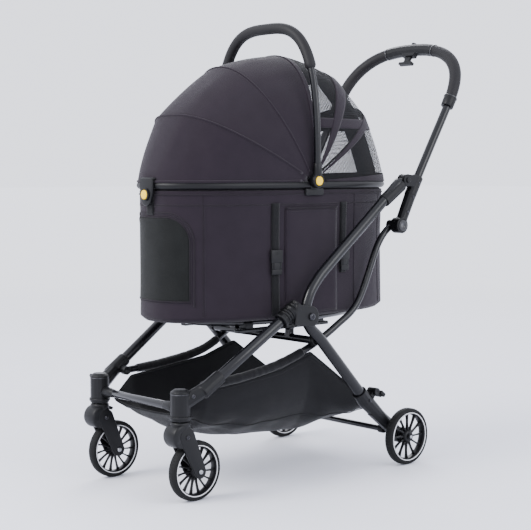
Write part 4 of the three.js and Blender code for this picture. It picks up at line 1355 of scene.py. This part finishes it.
def plan_place(run):
    """A plan point by distance round from the front centre, and the outward direction there."""
    turn = float(np.interp(run % GIRTH, PLAN_RUNS, PLAN_TURNS)) - math.pi / 2
    x, y = rounded(turn, TUB_HALF_WIDTH, TUB_HALF_LENGTH, TUB_POWER)
    gx = math.copysign(abs(x / TUB_HALF_WIDTH) ** (TUB_POWER - 1), x) / TUB_HALF_WIDTH
    gy = math.copysign(abs(y / TUB_HALF_LENGTH) ** (TUB_POWER - 1), y) / TUB_HALF_LENGTH
    out = Vector((gx, gy)).normalized()
    return Vector((x, y)), out


def run_of(x):
    """Distance round to the front half's point with this x."""
    turns = PLAN_TURNS - math.pi / 2
    c = np.cos(turns)
    xs = TUB_HALF_WIDTH * np.sign(c) * np.abs(c) ** (2 / TUB_POWER)
    quarter = len(turns) // 4
    return float(np.interp(abs(x), xs[:quarter + 1], PLAN_RUNS[:quarter + 1])) * math.copysign(1, x)


def run_at_y(y):
    """Distance round, on the +X side, to the point this far along the stroller."""
    turns = PLAN_TURNS - math.pi / 2
    s = np.sin(turns)
    ys = TUB_HALF_LENGTH * np.sign(s) * np.abs(s) ** (2 / TUB_POWER)
    half = len(turns) // 2
    return float(np.interp(y - CARRIER_AXIS[0], ys[:half + 1], PLAN_RUNS[:half + 1]))


def drape(run, z):
    """How far the cloth wall stands off its plan: drawn in below the rim, soft folds, a tight foot."""
    high = (z - TUB_BOTTOM) / (TUB_TOP - TUB_BOTTOM)
    turn = run / GIRTH * 2 * math.pi
    wave = noise.noise(Vector((math.cos(turn) * 2.4, math.sin(turn) * 2.4, high * 0.9)))
    fine = noise.noise(Vector((math.cos(turn) * 7.0, math.sin(turn) * 7.0, high * 2.6 + 5)))
    bulge = -0.0022 * math.sin(math.pi * min(1, max(0, high)))
    tight = smooth_step(high / 0.12) * smooth_step((1 - high) / 0.1)
    foot = -0.012 * (1 - smooth_step(high / 0.045)) ** 2
    return bulge + tight * (0.0018 * wave + 0.0008 * fine) + foot - 0.0012


def tub_point(run, z, lift=0.0):
    place, out = plan_place(run)
    place = place + out * (drape(run, z) + lift)
    return at(place.x, CARRIER_AXIS[0] + place.y, z)


def make_tub():
    columns, rows = 300, 60
    wall = 0.0075
    floor = TUB_BOTTOM + 0.010
    vertices, uvs = [], []
    profile = []
    for share in (0.0, 0.35, 0.7, 0.9):
        profile.append(("floor_out", share))
    for j in range(rows + 1):
        profile.append(("out", TUB_BOTTOM + (TUB_TOP - TUB_BOTTOM) * j / rows))
    for j in range(1, 6):
        profile.append(("lip", j / 6))
    for j in range(rows // 2 + 1):
        profile.append(("in", TUB_TOP - (TUB_TOP - floor) * j / (rows // 2)))
    for share in (0.9, 0.7, 0.35, 0.0):
        profile.append(("floor_in", share))
    for kind, value in profile:
        for i in range(columns):
            run = GIRTH * i / columns
            if kind == "out":
                p = tub_point(run, value)
                uv = (run, value)
            elif kind == "lip":
                turn = math.pi * value
                p = tub_point(run, TUB_TOP, -wall * (1 - math.cos(turn)) / 2)
                p.z += 0.0028 * math.sin(turn)
                uv = (run, TUB_TOP + value * 0.01)
            elif kind == "in":
                p = tub_point(run, max(value, TUB_BOTTOM + 0.014), -wall)
                p.z = value
                uv = (run, 1.4 - value)
            else:
                inner = kind == "floor_in"
                edge = tub_point(run, TUB_BOTTOM + (0.014 if inner else 0.0), -wall if inner else 0.0)
                centre = at(0, CARRIER_AXIS[0], 0)
                p = centre.lerp(edge, value)
                p.z = floor if inner else TUB_BOTTOM
                uv = (p.x + 3, p.y + 3)
            vertices.append(p)
            uvs.append(uv)
    faces = []
    for j in range(len(profile) - 1):
        for i in range(columns):
            n = (i + 1) % columns
            a, b = j * columns, (j + 1) * columns
            faces.append((a + i, a + n, b + n, b + i))
    piece = new_piece("tub_shell", vertices, faces, COVER_CLOTH, uvs=uvs)
    piece.data.materials.append(LINING_CLOTH)
    inner_start = (4 + rows + 1 + 4) * columns
    face_outwards(piece)
    for polygon in piece.data.polygons:
        if min(polygon.vertices) >= inner_start:
            polygon.material_index = 1
    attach(piece, "carrier")
    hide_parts("tub")


def tub_patch(
    name, run_low, run_high, z_low, z_high, lift, material, thickness=0.0012, shape=None, step=0.008,
):
    """A flat piece sewn on the tub wall. shape(u, v) may pull its outline in: it returns new shares."""
    columns = max(6, int((run_high - run_low) / step))
    rows = max(4, int((z_high - z_low) / step))

    def point(u, v):
        if shape is not None:
            u, v = shape(u, v)
        run = run_low + (run_high - run_low) * u
        z = z_low + (z_high - z_low) * v
        hold = min(u, 1 - u) * (run_high - run_low)
        hem = smooth_step(min(hold, min(v, 1 - v) * (z_high - z_low)) / 0.002)
        return tub_point(run, z, thickness + lift * (0.35 + 0.65 * hem))

    return surface_grid(name, rows, columns, point, material, thickness=thickness)


WINDOW_HALF = run_of(0.088)
WINDOW_LOW, WINDOW_HIGH = 0.418, 0.600
WINDOW_CORNER = 0.055


def window_outline(grow, lift, count=50):
    """Points round the window's sides and top from its lower right corner to its lower left one."""
    low, top = WINDOW_LOW - grow, WINDOW_HIGH + grow
    corner = WINDOW_CORNER + grow
    half = WINDOW_HALF + grow
    outline = [(half, low + (top - corner - low) * i / count) for i in range(count)]
    for i in range(count + 1):
        turn = math.pi / 2 * i / count
        outline.append((half - corner + corner * math.cos(turn), top - corner + corner * math.sin(turn)))
    across = [(half - corner) * (1 - 2 * i / count) for i in range(1, count)]
    outline += [(run, top) for run in across]
    outline += [(-run, z) for run, z in reversed(outline[:2 * count + 1])]
    return [tub_point(run, z, lift) for run, z in outline]


def make_window():
    """Arched net window at the front, with a double-stitched binding and a solid band under it."""
    half, corner = WINDOW_HALF, WINDOW_CORNER

    def shape(u, v):
        z = WINDOW_LOW + (WINDOW_HIGH - WINDOW_LOW) * v
        rise = z - (WINDOW_HIGH - corner)
        width = half if rise <= 0 else half - corner + math.sqrt(max(corner ** 2 - rise ** 2, 0))
        return 0.5 + (u - 0.5) * width / half, v

    net = tub_patch(
        "front_window_net", -half, half, WINDOW_LOW, WINDOW_HIGH, 0.0006, WINDOW_NET, 0.0008, shape, 0.004,
    )
    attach(net, "carrier")
    declare_sheet(net)
    inner = sweep("inner", window_outline(0.001, 0.0012), 0.0013, SEAM_CLOTH, 8)
    outer = sweep("outer", window_outline(0.011, 0.0006), 0.0012, SEAM_CLOTH, 8)
    sill = [tub_point(run, WINDOW_LOW, 0.0014) for run in np.linspace(-half - 0.002, half + 0.002, 60)]
    sill_cord = sweep("sill", sill, 0.0013, SEAM_CLOTH, 8)
    rows = [window_outline(0.0045, 0.0008), window_outline(0.0085, 0.0008)]
    rows.append([tub_point(run, WINDOW_LOW - 0.004, 0.0005) for run in np.linspace(-half, half, 60)])
    thread = stitches("rows", rows, 0.0045)
    piece = join_pieces("window_binding", [inner, outer, sill_cord, thread])
    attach(piece, "carrier")


def make_rim_skirt():
    """Band of cloth from the rim down inside the tub, which closes the gap between them."""
    def point(u, v):
        place, out = plan_place(GIRTH * u)
        place = place - out * (0.0062 + 0.0016 * math.sin(math.pi * v))
        return at(place.x, CARRIER_AXIS[0] + place.y, 0.6420 + 0.0270 * v)

    piece = surface_grid("rim_skirt", 4, 240, point, SEAM_CLOTH, thickness=0.0009)
    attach(piece, "carrier")
    declare_sheet(piece)


def make_tub_seams():
    """Piping under the lip, a flat seam below the rim, and upright panel seams."""
    all_round = np.linspace(0, GIRTH, 301)[:-1]
    lip = [tub_point(run, TUB_TOP - 0.006, 0.0004) for run in all_round]
    parts = [sweep("piping", lip, 0.0016, SEAM_CLOTH, 10, True)]
    rows = []
    for z in (0.6285, 0.6245):
        rows.append([tub_point(run, z, 0.0003) for run in np.linspace(0, GIRTH, 301)])
    fold = [tub_point(run, 0.6265) for run in all_round]
    parts.append(sweep("fold", fold, 0.0009, SEAM_CLOTH, 8, True))
    seam_heights = np.linspace(TUB_BOTTOM + 0.014, TUB_TOP - 0.008, 50)
    row_heights = np.linspace(TUB_BOTTOM + 0.02, 0.622, 50)
    for run in (WINDOW_HALF + 0.030, run_at_y(0.520), run_at_y(0.640)):
        for sign in (-1, 1):
            line = [tub_point(sign * run, z, 0.0002) for z in seam_heights]
            parts.append(sweep("upright", line, 0.0009, SEAM_CLOTH, 8))
            rows.append([tub_point(sign * (run + 0.004), z, 0.0004) for z in row_heights])
    parts.append(stitches("rows", rows, 0.0048))
    piece = join_pieces("tub_seams", parts)
    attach(piece, "carrier")


def make_pockets(label, side):
    """Flat pocket with a hemmed mouth on the tub's side."""
    low, high = sorted((side * run_at_y(0.293), side * run_at_y(0.456)))
    panel = tub_patch(f"side_pocket_{label}", low, high, 0.380, 0.619, 0.0018, COVER_CLOTH, 0.0012)
    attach(panel, "carrier")
    declare_sheet(panel)
    hem = [tub_point(run, 0.6185, 0.0035) for run in np.linspace(low + 0.001, high - 0.001, 40)]
    cord = sweep("cord", hem, 0.0016, SEAM_CLOTH, 8)
    rows = [[tub_point(run, 0.611, 0.0034) for run in np.linspace(low + 0.004, high - 0.004, 40)]]
    for edge, step in ((low, 0.004), (high, -0.004)):
        rows.append([tub_point(edge + step, z, 0.0034) for z in np.linspace(0.385, 0.612, 40)])
    piece = join_pieces(f"pocket_seams_{label}", [cord, stitches("rows", rows, 0.0048)])
    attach(piece, "carrier")


def make_strap(name, run, z_low, z_high, buckle_z, width, replaced=()):
    """Webbing down the tub wall with its side-release buckle."""
    low, high = run - width / 2, run + width / 2
    web = tub_patch(f"{name}_webbing", low, high, z_low, z_high, 0.0030, WEBBING, 0.0014, None, 0.004)
    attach(web, "carrier")
    declare_sheet(web)
    _, out = plan_place(run)
    turn = Matrix.Rotation(math.atan2(out.y, out.x), 3, "Z")
    centre = tub_point(run, buckle_z, 0.0072)
    side_way = Vector((-out.y, out.x, 0))
    body = block("body", centre, (0.0070, width + 0.009, 0.030), PLASTIC, turn, 0.0024)
    below = centre + Vector((0, 0, -0.0215))
    waist = block("waist", below, (0.0064, width - 0.003, 0.016), PLASTIC, turn, 0.0022)
    below = centre + Vector((0, 0, -0.0345))
    lower = block("lower", below, (0.0064, width + 0.006, 0.013), PLASTIC, turn, 0.0022)
    prongs = []
    for sign in (-1, 1):
        spot = centre + side_way * sign * (width / 2 + 0.0005) + Vector((0, 0, -0.0195))
        prongs.append(block("prong", spot, (0.0050, 0.0042, 0.018), PLASTIC, turn, 0.0016))
    ridges = []
    for k in range(3):
        spot = centre + Vector((out.x, out.y, 0)) * 0.0036 + Vector((0, 0, 0.004 + k * 0.0035))
        ridges.append(block("ridge", spot, (0.0012, width * 0.5, 0.0012), PLASTIC, turn, 0.0005))
    piece = join_pieces(f"{name}_buckle", [body, waist, lower, *prongs, *ridges])
    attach(piece, "carrier")
    if replaced:
        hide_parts(*replaced)


def make_front_strap():
    """Short strap that holds the latch to the tub's front."""
    web = tub_patch("latch_strap", -0.0125, 0.0125, 0.606, 0.655, 0.0022, WEBBING, 0.0014, None, 0.003)
    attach(web, "carrier")
    declare_sheet(web)


# ---------------------------------------------------------------- carrier: mat
def make_mat():
    """Stuffed mat on the tub floor, blown up by a short cloth run and then quilted."""
    lift = 0.0006
    bottom, top = TUB_BOTTOM + 0.012 + lift, TUB_BOTTOM + 0.0335
    half_x, half_y = TUB_HALF_WIDTH - 0.0155, TUB_HALF_LENGTH - 0.0155
    columns = 120
    rings = [
        (0.0, bottom), (0.5, bottom), (0.97, bottom), (1.0, bottom + 0.005),
        (1.0, top - 0.005), (0.965, top), (0.5, top), (0.0, top),
    ]
    vertices = []
    for share, z in rings:
        for i in range(columns):
            x, y = rounded(2 * math.pi * i / columns, half_x * share, half_y * share, TUB_POWER)
            vertices.append(at(x, CARRIER_AXIS[0] + y, z))
    faces = []
    for j in range(len(rings) - 1):
        for i in range(columns):
            n = (i + 1) % columns
            a, b = j * columns, (j + 1) * columns
            faces.append((a + i, a + n, b + n, b + i))
    piece = face_outwards(new_piece("mat_pad", vertices, faces, LINING_CLOTH))
    skin = piece.modifiers.new("Even skin", "REMESH")
    skin.mode = "VOXEL"
    skin.voxel_size = 0.006
    bake_modifiers(piece)
    puff(piece, 0.004)
    quilt(piece, top)
    smooth_all(piece)
    piece.data.materials.clear()
    piece.data.materials.append(LINING_CLOTH)
    box_map(piece)
    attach(piece, "carrier")
    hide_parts("mat")


def puff(piece, cap):
    """Blows a remeshed pad up with Blender's cloth, never moving a point further than cap."""
    scene = bpy.context.scene
    before = np.array([v.co for v in piece.data.vertices])
    cloth = piece.modifiers.new("Stuffing", "CLOTH")
    cloth.settings.use_pressure = True
    cloth.settings.uniform_pressure_force = 4
    cloth.settings.effector_weights.gravity = 0
    cloth.point_cache.frame_start, cloth.point_cache.frame_end = 1, 20
    for number in range(1, 21):
        scene.frame_set(number)
    bake_modifiers(piece)
    scene.frame_set(1)
    moved = np.array([v.co for v in piece.data.vertices]) - before
    size = np.linalg.norm(moved, axis=1, keepdims=True)
    moved *= np.minimum(1.0, cap / np.maximum(size, 1e-9))
    after = before + moved
    floor = before[:, 2].min()
    after[:, 2] = np.maximum(after[:, 2], floor)
    piece.data.vertices.foreach_set("co", after.astype(np.float32).ravel())
    piece.data.update()


def quilt(piece, top):
    """Presses stitched diamonds into the upper face."""
    pitch = 0.075
    co = np.array([v.co for v in piece.data.vertices])
    u = (co[:, 0] + co[:, 1]) / pitch
    v = (co[:, 0] - co[:, 1]) / pitch
    near = np.minimum(np.abs(u - np.round(u)), np.abs(v - np.round(v)))
    press = 0.0045 * np.exp(-(near / 0.085) ** 2)
    share = np.clip((co[:, 2] - (top - 0.008)) / 0.006, 0, 1)
    co[:, 2] -= press * share
    piece.data.vertices.foreach_set("co", co.astype(np.float32).ravel())
    piece.data.update()


def box_map(piece):
    """A cloth map in metres, laid from above or from the side by the way each face looks."""
    mesh = piece.data
    layer = mesh.uv_layers.new(name="cloth")
    for polygon in mesh.polygons:
        n = polygon.normal
        for loop in polygon.loop_indices:
            co = mesh.vertices[mesh.loops[loop].vertex_index].co
            if abs(n.z) > 0.6:
                layer.data[loop].uv = (co.x, co.y)
            else:
                layer.data[loop].uv = (co.x + co.y, co.z)


# ---------------------------------------------------------------- canopy
HOOP_ORDER = ("front_bow", "hoop_a", "hoop_b", "hoop_c", "hoop_d", "hoop_e", "rear_edge")
HOOP_TURNS = [HOOPS[name][0] for name in HOOP_ORDER]
CROWN_TURN = HOOPS["hoop_c"][0]
COVER_LIFT = 0.0045
COVER_LOW, COVER_END = -0.8, 180.6
HOOP_BODIES = {
    "front_bow": "canopy_front_bow", "hoop_a": "canopy_middle_hoop", "hoop_b": "canopy_back_hoop",
    "hoop_c": "carrier", "hoop_d": "carrier", "hoop_e": "carrier",
}


def hoop_label(name):
    return "bow_fine" if name == "front_bow" else f"{name}_fine"


def hoop_measure(angle, column):
    return float(np.interp(angle, HOOP_TURNS, [HOOPS[name][column] for name in HOOP_ORDER]))


def cover_point(u, angle, lift=0.0):
    """The cover at a share across it and an angle over it; it runs nearly flat from hoop to hoop."""
    turns = HOOP_TURNS
    k = max(i for i in range(len(turns) - 1) if angle >= turns[i] or i == 0)
    share = (angle - turns[k]) / (turns[k + 1] - turns[k])
    ends = []
    for name in HOOP_ORDER[k:k + 2]:
        turn, reach, _, power = HOOPS[name]
        ends.append(hoop_point(u, turn, reach + COVER_LIFT, power, CANOPY_HALF_WIDTH + COVER_LIFT))
    flat = ends[0].lerp(ends[1], share)
    reach, power = hoop_measure(angle, 1) + COVER_LIFT, hoop_measure(angle, 3)
    full = hoop_point(u, angle, reach, power, CANOPY_HALF_WIDTH + COVER_LIFT)
    point = flat.lerp(full, 0.42)
    out = Vector((0, -math.cos(math.radians(angle)), math.sin(math.radians(angle))))
    sideways = math.copysign(min(1, abs(point.x) / 0.12) ** 3, point.x)
    way = (out * (1 - abs(sideways)) + Vector((sideways, 0, 0))).normalized()
    crease = noise.noise(Vector((u * 9, angle * 0.055, 1.7))) * 0.0016
    crease += noise.noise(Vector((u * 22, angle * 0.02, 7.1))) * 0.0008
    held = math.sin(math.pi * share)
    return point + way * (lift + crease * held)


def set_share(piece):
    """Works out the angle of each point about the carrier's axis; nothing is done with it."""
    for vertex in piece.data.vertices:
        co = vertex.co
        turn = math.degrees(math.atan2(co.z - CARRIER_AXIS[1], CASTER_Y + CARRIER_AXIS[0] - co.y))
        if turn < -90:
            turn += 360


def declare_sheet(piece):
    width, length, area = piece["cut"]
    del piece["cut"]
    area = min(area, width * length)


def make_panel(name, first, second, replaced):
    """A cover panel between two hoops."""
    low, high = HOOPS[first][0], HOOPS[second][0]
    if first == "front_bow":
        low = COVER_LOW

    def point(u, v):
        return cover_point(0.009 + 0.982 * u, low + (high - low) * v)

    piece = surface_grid(name, 26, 120, point, COVER_CLOTH, thickness=0.0011)
    cover_point(0.5, low)
    cover_point(0.5, high)
    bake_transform(piece)
    set_share(piece)
    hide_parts(replaced)
    declare_sheet(piece)


def make_hoop(name):
    angle, reach, half_width, power = HOOPS[name]
    path = hoop_path(angle, reach, power, half_width, 0.02, 0.98, 150)
    piece = sweep(hoop_label(name), path, HOOP_R, PLASTIC, 12)
    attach(piece, HOOP_BODIES[name])
    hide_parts(name)


def cover_line(angle, lift, start=0.02, count=130):
    return [cover_point(start + (1 - 2 * start) * i / count, angle, lift) for i in range(count + 1)]


def make_hoop_seam(name, radius=0.0030):
    """The sleeve a hoop runs in, sewn with a row of thread each side."""
    angle = HOOPS[name][0]
    if name == "front_bow":
        angle = COVER_LOW + 0.4
    sleeve = sweep("sleeve", cover_line(angle, 0.0004), radius, COVER_CLOTH, 14)
    rows = []
    for step in (-1.35, 1.35):
        if HOOP_TURNS[0] < angle + step:
            rows.append(cover_line(angle + step, 0.0002, 0.035))
    piece = join_pieces(f"{name}_seam", [sleeve, stitches("rows", rows, 0.0050)])
    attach(piece, HOOP_BODIES[name])


def band_piece(name, point, rows, columns):
    """A solid band sewn on the rear net."""
    piece = surface_grid(name, rows, columns, point, COVER_CLOTH, thickness=0.0011)
    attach(piece, "carrier")
    declare_sheet(piece)


def make_hoop_band(name, low, high, start=0.02):
    def point(u, v):
        return cover_point(start + (1 - 2 * start) * u, low + (high - low) * v, 0.0014)

    band_piece(name, point, 6, 120)


def level_turn(u, z):
    """The angle over the rear cover where a height is met at a share across it."""
    low, high = CROWN_TURN, COVER_END
    if cover_point(u, low).z <= z:
        return low
    for _ in range(24):
        middle = (low + high) / 2
        if cover_point(u, middle).z > z:
            low = middle
        else:
            high = middle
    return low


def make_level_band(name, z_low, z_high):
    """A strip round the rear cover at one height."""
    def start(z):
        return min(0.5 * i / 400 for i in range(1, 400) if cover_point(0.5 * i / 400, CROWN_TURN).z > z)

    starts = [start(z_low), start(z_high)]

    def point(u, v):
        z = z_low + (z_high - z_low) * v
        edge = starts[0] + (starts[1] - starts[0]) * v
        across = edge + (1 - 2 * edge) * u
        return cover_point(across, level_turn(across, z), 0.0022)

    band_piece(name, point, 5, 120)


def make_rear_cover():
    """Open net over the rear half, with solid bands along its hoops, its crest, its waist and its hem."""
    def over(v):
        return CROWN_TURN + (COVER_END - CROWN_TURN) * v

    def net_point(u, v):
        return cover_point(0.009 + 0.982 * u, over(v))

    def crest_point(u, v):
        return cover_point(0.455 + 0.09 * u, over(v), 0.0024)

    net = surface_grid("rear_net", 60, 110, net_point, NET_CLOTH, thickness=0.0007)
    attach(net, "carrier")
    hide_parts("canopy_rear")
    declare_sheet(net)
    make_hoop_band("crown_band", CROWN_TURN, CROWN_TURN + 3)
    make_hoop_band("hoop_d_band", 119.5, 128.5)
    make_hoop_band("hoop_e_band", 145.5, 150.5)
    make_hoop_band("rear_hem_band", 177, COVER_END)
    make_level_band("waist_band", 0.800, 0.823)
    band_piece("crest_band", crest_point, 60, 10)
    rows = [cover_line(angle, 0.0018, 0.035) for angle in (95.6, 120.4, 127.6, 178.0)]
    thread = stitches("rows", rows, 0.0050)
    hem = sweep("hem", cover_line(COVER_END, 0.0008), 0.0022, SEAM_CLOTH, 10)
    piece = join_pieces("rear_cover_seams", [thread, hem])
    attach(piece, "carrier")


def make_canopy():
    for name in HOOP_BODIES:
        make_hoop(name)
    make_panel("cover_front", "front_bow", "hoop_a", "canopy_front")
    make_panel("cover_middle", "hoop_a", "hoop_b", "canopy_middle")
    make_panel("cover_crown", "hoop_b", "hoop_c", "canopy_crown")
    for name in ("front_bow", "hoop_a", "hoop_b", "hoop_c"):
        make_hoop_seam(name)
    make_rear_cover()


# ---------------------------------------------------------------- basket
BASKET_HEM = (
    (0.020, 0.192), (0.045, 0.212), (0.075, 0.231), (0.123, 0.236), (0.224, 0.247),
    (0.299, 0.256), (0.345, 0.271), (0.390, 0.284), (0.470, 0.228), (0.600, 0.136),
)
BASKET_FLOOR = (
    (0.020, 0.176), (0.045, 0.154), (0.087, 0.131), (0.160, 0.113), (0.240, 0.101),
    (0.354, 0.096), (0.470, 0.097), (0.550, 0.105), (0.600, 0.121),
)
BASKET_HALF_WIDTH = 0.131


def basket_point(u, v):
    """The slung cloth: u runs from hem to hem under the load, v from the front edge to the rear one."""
    y = BASKET_HEM[0][0] + (BASKET_HEM[-1][0] - BASKET_HEM[0][0]) * v
    hem = float(np.interp(y, *zip(*BASKET_HEM)))
    floor = float(np.interp(y, *zip(*BASKET_FLOOR)))
    turn = math.pi * u
    c, s = math.cos(turn), math.sin(turn)
    half = BASKET_HALF_WIDTH - 0.014 * (1 - smooth_step((y - 0.03) / 0.06)) + 0.005 * math.sin(math.pi * v)
    x = half * math.copysign(abs(c) ** (2 / 3.0), c)
    depth = hem - floor
    z = hem - depth * abs(s) ** (2 / 2.6)
    sag = 0.010 * math.sin(math.pi * min(1, v * 1.05)) * max(0, s) ** 2
    fold = noise.noise(Vector((u * 5.5, v * 4.0, 2.3))) * 0.009
    fold += noise.noise(Vector((u * 13, v * 9, 8.8))) * 0.0045
    drag = noise.noise(Vector((u * 3.0 + v * 9.0, v * 2.0, 4.4))) * 0.007
    tight = min(1, max(0, s)) ** 0.8 * smooth_step(min(v, 1 - v) / 0.06)
    x += math.copysign(fold * 0.7, x) * tight * (1 - max(0, s))
    return at(x, y, z - sag + (fold + drag) * tight * 0.9)


def make_basket():
    """Slung basket with cords in its hems, a pleat along each side and stitches under the hems."""
    cloth = surface_grid("basket_sling", 110, 130, basket_point, BASKET_CLOTH, thickness=0.0012)
    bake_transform(cloth)
    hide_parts("basket")
    declare_sheet(cloth)
    lines = []
    for u in (0.0, 1.0):
        lines.append([basket_point(u, i / 120) for i in range(121)])
    for v in (0.0, 1.0):
        lines.append([basket_point(i / 120, v) for i in range(121)])
    cords = [sweep("hem", line, 0.0024, BASKET_CLOTH, 10) for line in lines]
    for u in (0.245, 0.755):
        pleat = [basket_point(u, i / 120) + Vector((0, 0, -0.0016)) for i in range(121)]
        cords.append(sweep("pleat", pleat, 0.0011, BASKET_CLOTH, 8))
    rows = []
    for u in (0.012, 0.988):
        outwards = Vector((math.copysign(0.0006, 0.5 - u), 0, 0))
        rows.append([basket_point(u, i / 120) + outwards for i in range(3, 118)])
    piece = join_pieces("basket_hems", cords + [stitches("rows", rows, 0.0050)])
    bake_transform(piece)


# ---------------------------------------------------------------- studio
BACKDROP = (0.700, 0.718, 0.800)
BACKDROP_LEVEL = 2.7


def make_floor():
    material, tree, principled = shader("Studio Floor")
    vector = object_vector(tree)
    length = tree.nodes.new("ShaderNodeVectorMath")
    length.operation = "LENGTH"
    tree.links.new(vector, length.inputs[0])
    fade = map_range(tree, length.outputs["Value"], 0.9, 5.0, 0.0, 1.0)
    grain = noise_node(tree, vector, 3.0, 2.0)
    patch = map_range(tree, grain, 0.3, 0.7, 0.0, 1.0)
    tint = mix_colour(tree, patch, (0.740, 0.750, 0.810), (0.755, 0.765, 0.825))
    tree.links.new(mix_colour(tree, fade, tint, (0, 0, 0)), principled.inputs["Base Color"])
    principled.inputs["Emission Color"].default_value = (*BACKDROP, 1)
    glow = math_node(tree, "MULTIPLY", fade, BACKDROP_LEVEL)
    tree.links.new(glow, principled.inputs["Emission Strength"])
    principled.inputs["Roughness"].default_value = 0.85
    principled.inputs["Specular IOR Level"].default_value = 0.15
    size = 40
    corners = [(-size, -size, 0), (size, -size, 0), (size, size, 0), (-size, size, 0)]
    floor = new_piece("studio_floor", corners, [(0, 1, 2, 3)], material, smooth=False)


def area_light(name, place, target, size, power, colour):
    data = bpy.data.lights.new(name, "AREA")
    data.shape = "DISK"
    data.size = size
    data.energy = power
    data.color = colour
    lamp = bpy.data.objects.new(name, data)
    bpy.context.scene.collection.objects.link(lamp)
    lamp.location = place
    lamp.rotation_euler = (Vector(target) - Vector(place)).to_track_quat("-Z", "Y").to_euler()


def make_studio():
    make_floor()
    world = bpy.data.worlds.new("Studio")
    world.use_nodes = True
    background = world.node_tree.nodes["Background"]
    background.inputs["Color"].default_value = (*BACKDROP, 1)
    background.inputs["Strength"].default_value = BACKDROP_LEVEL
    bpy.context.scene.world = world
    centre = (0, 0, 0.5)
    area_light("Key", (-0.6, -3.0, 2.6), centre, 1.8, 150, (1.0, 0.99, 0.98))
    area_light("Side", (3.2, 0.6, 2.0), centre, 2.2, 60, (0.97, 0.98, 1.0))
    area_light("Back", (-2.4, 2.4, 2.8), centre, 2.0, 70, (0.96, 0.97, 1.0))


def make_camera():
    data = bpy.data.cameras.new("Camera")
    data.lens = 88.07
    data.sensor_width = 36
    data.clip_end = 100
    camera = bpy.data.objects.new("Camera", data)
    bpy.context.scene.collection.objects.link(camera)
    azimuth, down = math.radians(48.11), math.radians(4.24)
    back = Vector((math.sin(azimuth) * math.cos(down), -math.cos(azimuth) * math.cos(down), math.sin(down)))
    camera.location = (2.2806, -2.104, 0.7063)
    camera.rotation_euler = back.to_track_quat("Z", "Y").to_euler()
    bpy.context.scene.camera = camera


# ---------------------------------------------------------------- the whole stroller
def make_frame():
    mould_all()
    front_axle = (CASTER_TRAIL, FRONT_WHEEL_R)
    for label, side in SIDES:
        make_side_tube(label, side)
        make_front_tube(label, side)
        make_link(label, side)
        make_hem_sleeve(label, side)
        make_frame_details(label, side)
        make_pedal(label, side)
        make_fork(label, side)
        make_axle_caps(label, side)
        make_grip(label, side)
        make_wheel(label, "front", side_at(side * CASTER_X, front_axle), FRONT_WHEEL_R, 15)
        make_wheel(label, "rear", side_at(side * REAR_WHEEL_X, REAR_AXLE), REAR_WHEEL_R, 12)
    make_cross_tubes()
    make_handle_tube()


def make_carrier():
    make_rim()
    make_latch()
    make_base_ring()
    make_tub()
    make_window()
    make_rim_skirt()
    make_tub_seams()
    for label, side in SIDES:
        make_bail_button(label, side)
        make_pockets(label, side)
        front, rear = side * run_at_y(0.266), side * run_at_y(0.478)
        make_strap(f"strap_{label}_front", front, 0.378, 0.630, 0.512, 0.022, (f"strap_{label}",))
        make_strap(f"strap_{label}_rear", rear, 0.466, 0.630, 0.512, 0.022)
    make_front_strap()
    make_mat()
    make_bail()
    make_bail_grip()


make_frame()
make_carrier()
make_canopy()
make_basket()
make_studio()
make_camera()
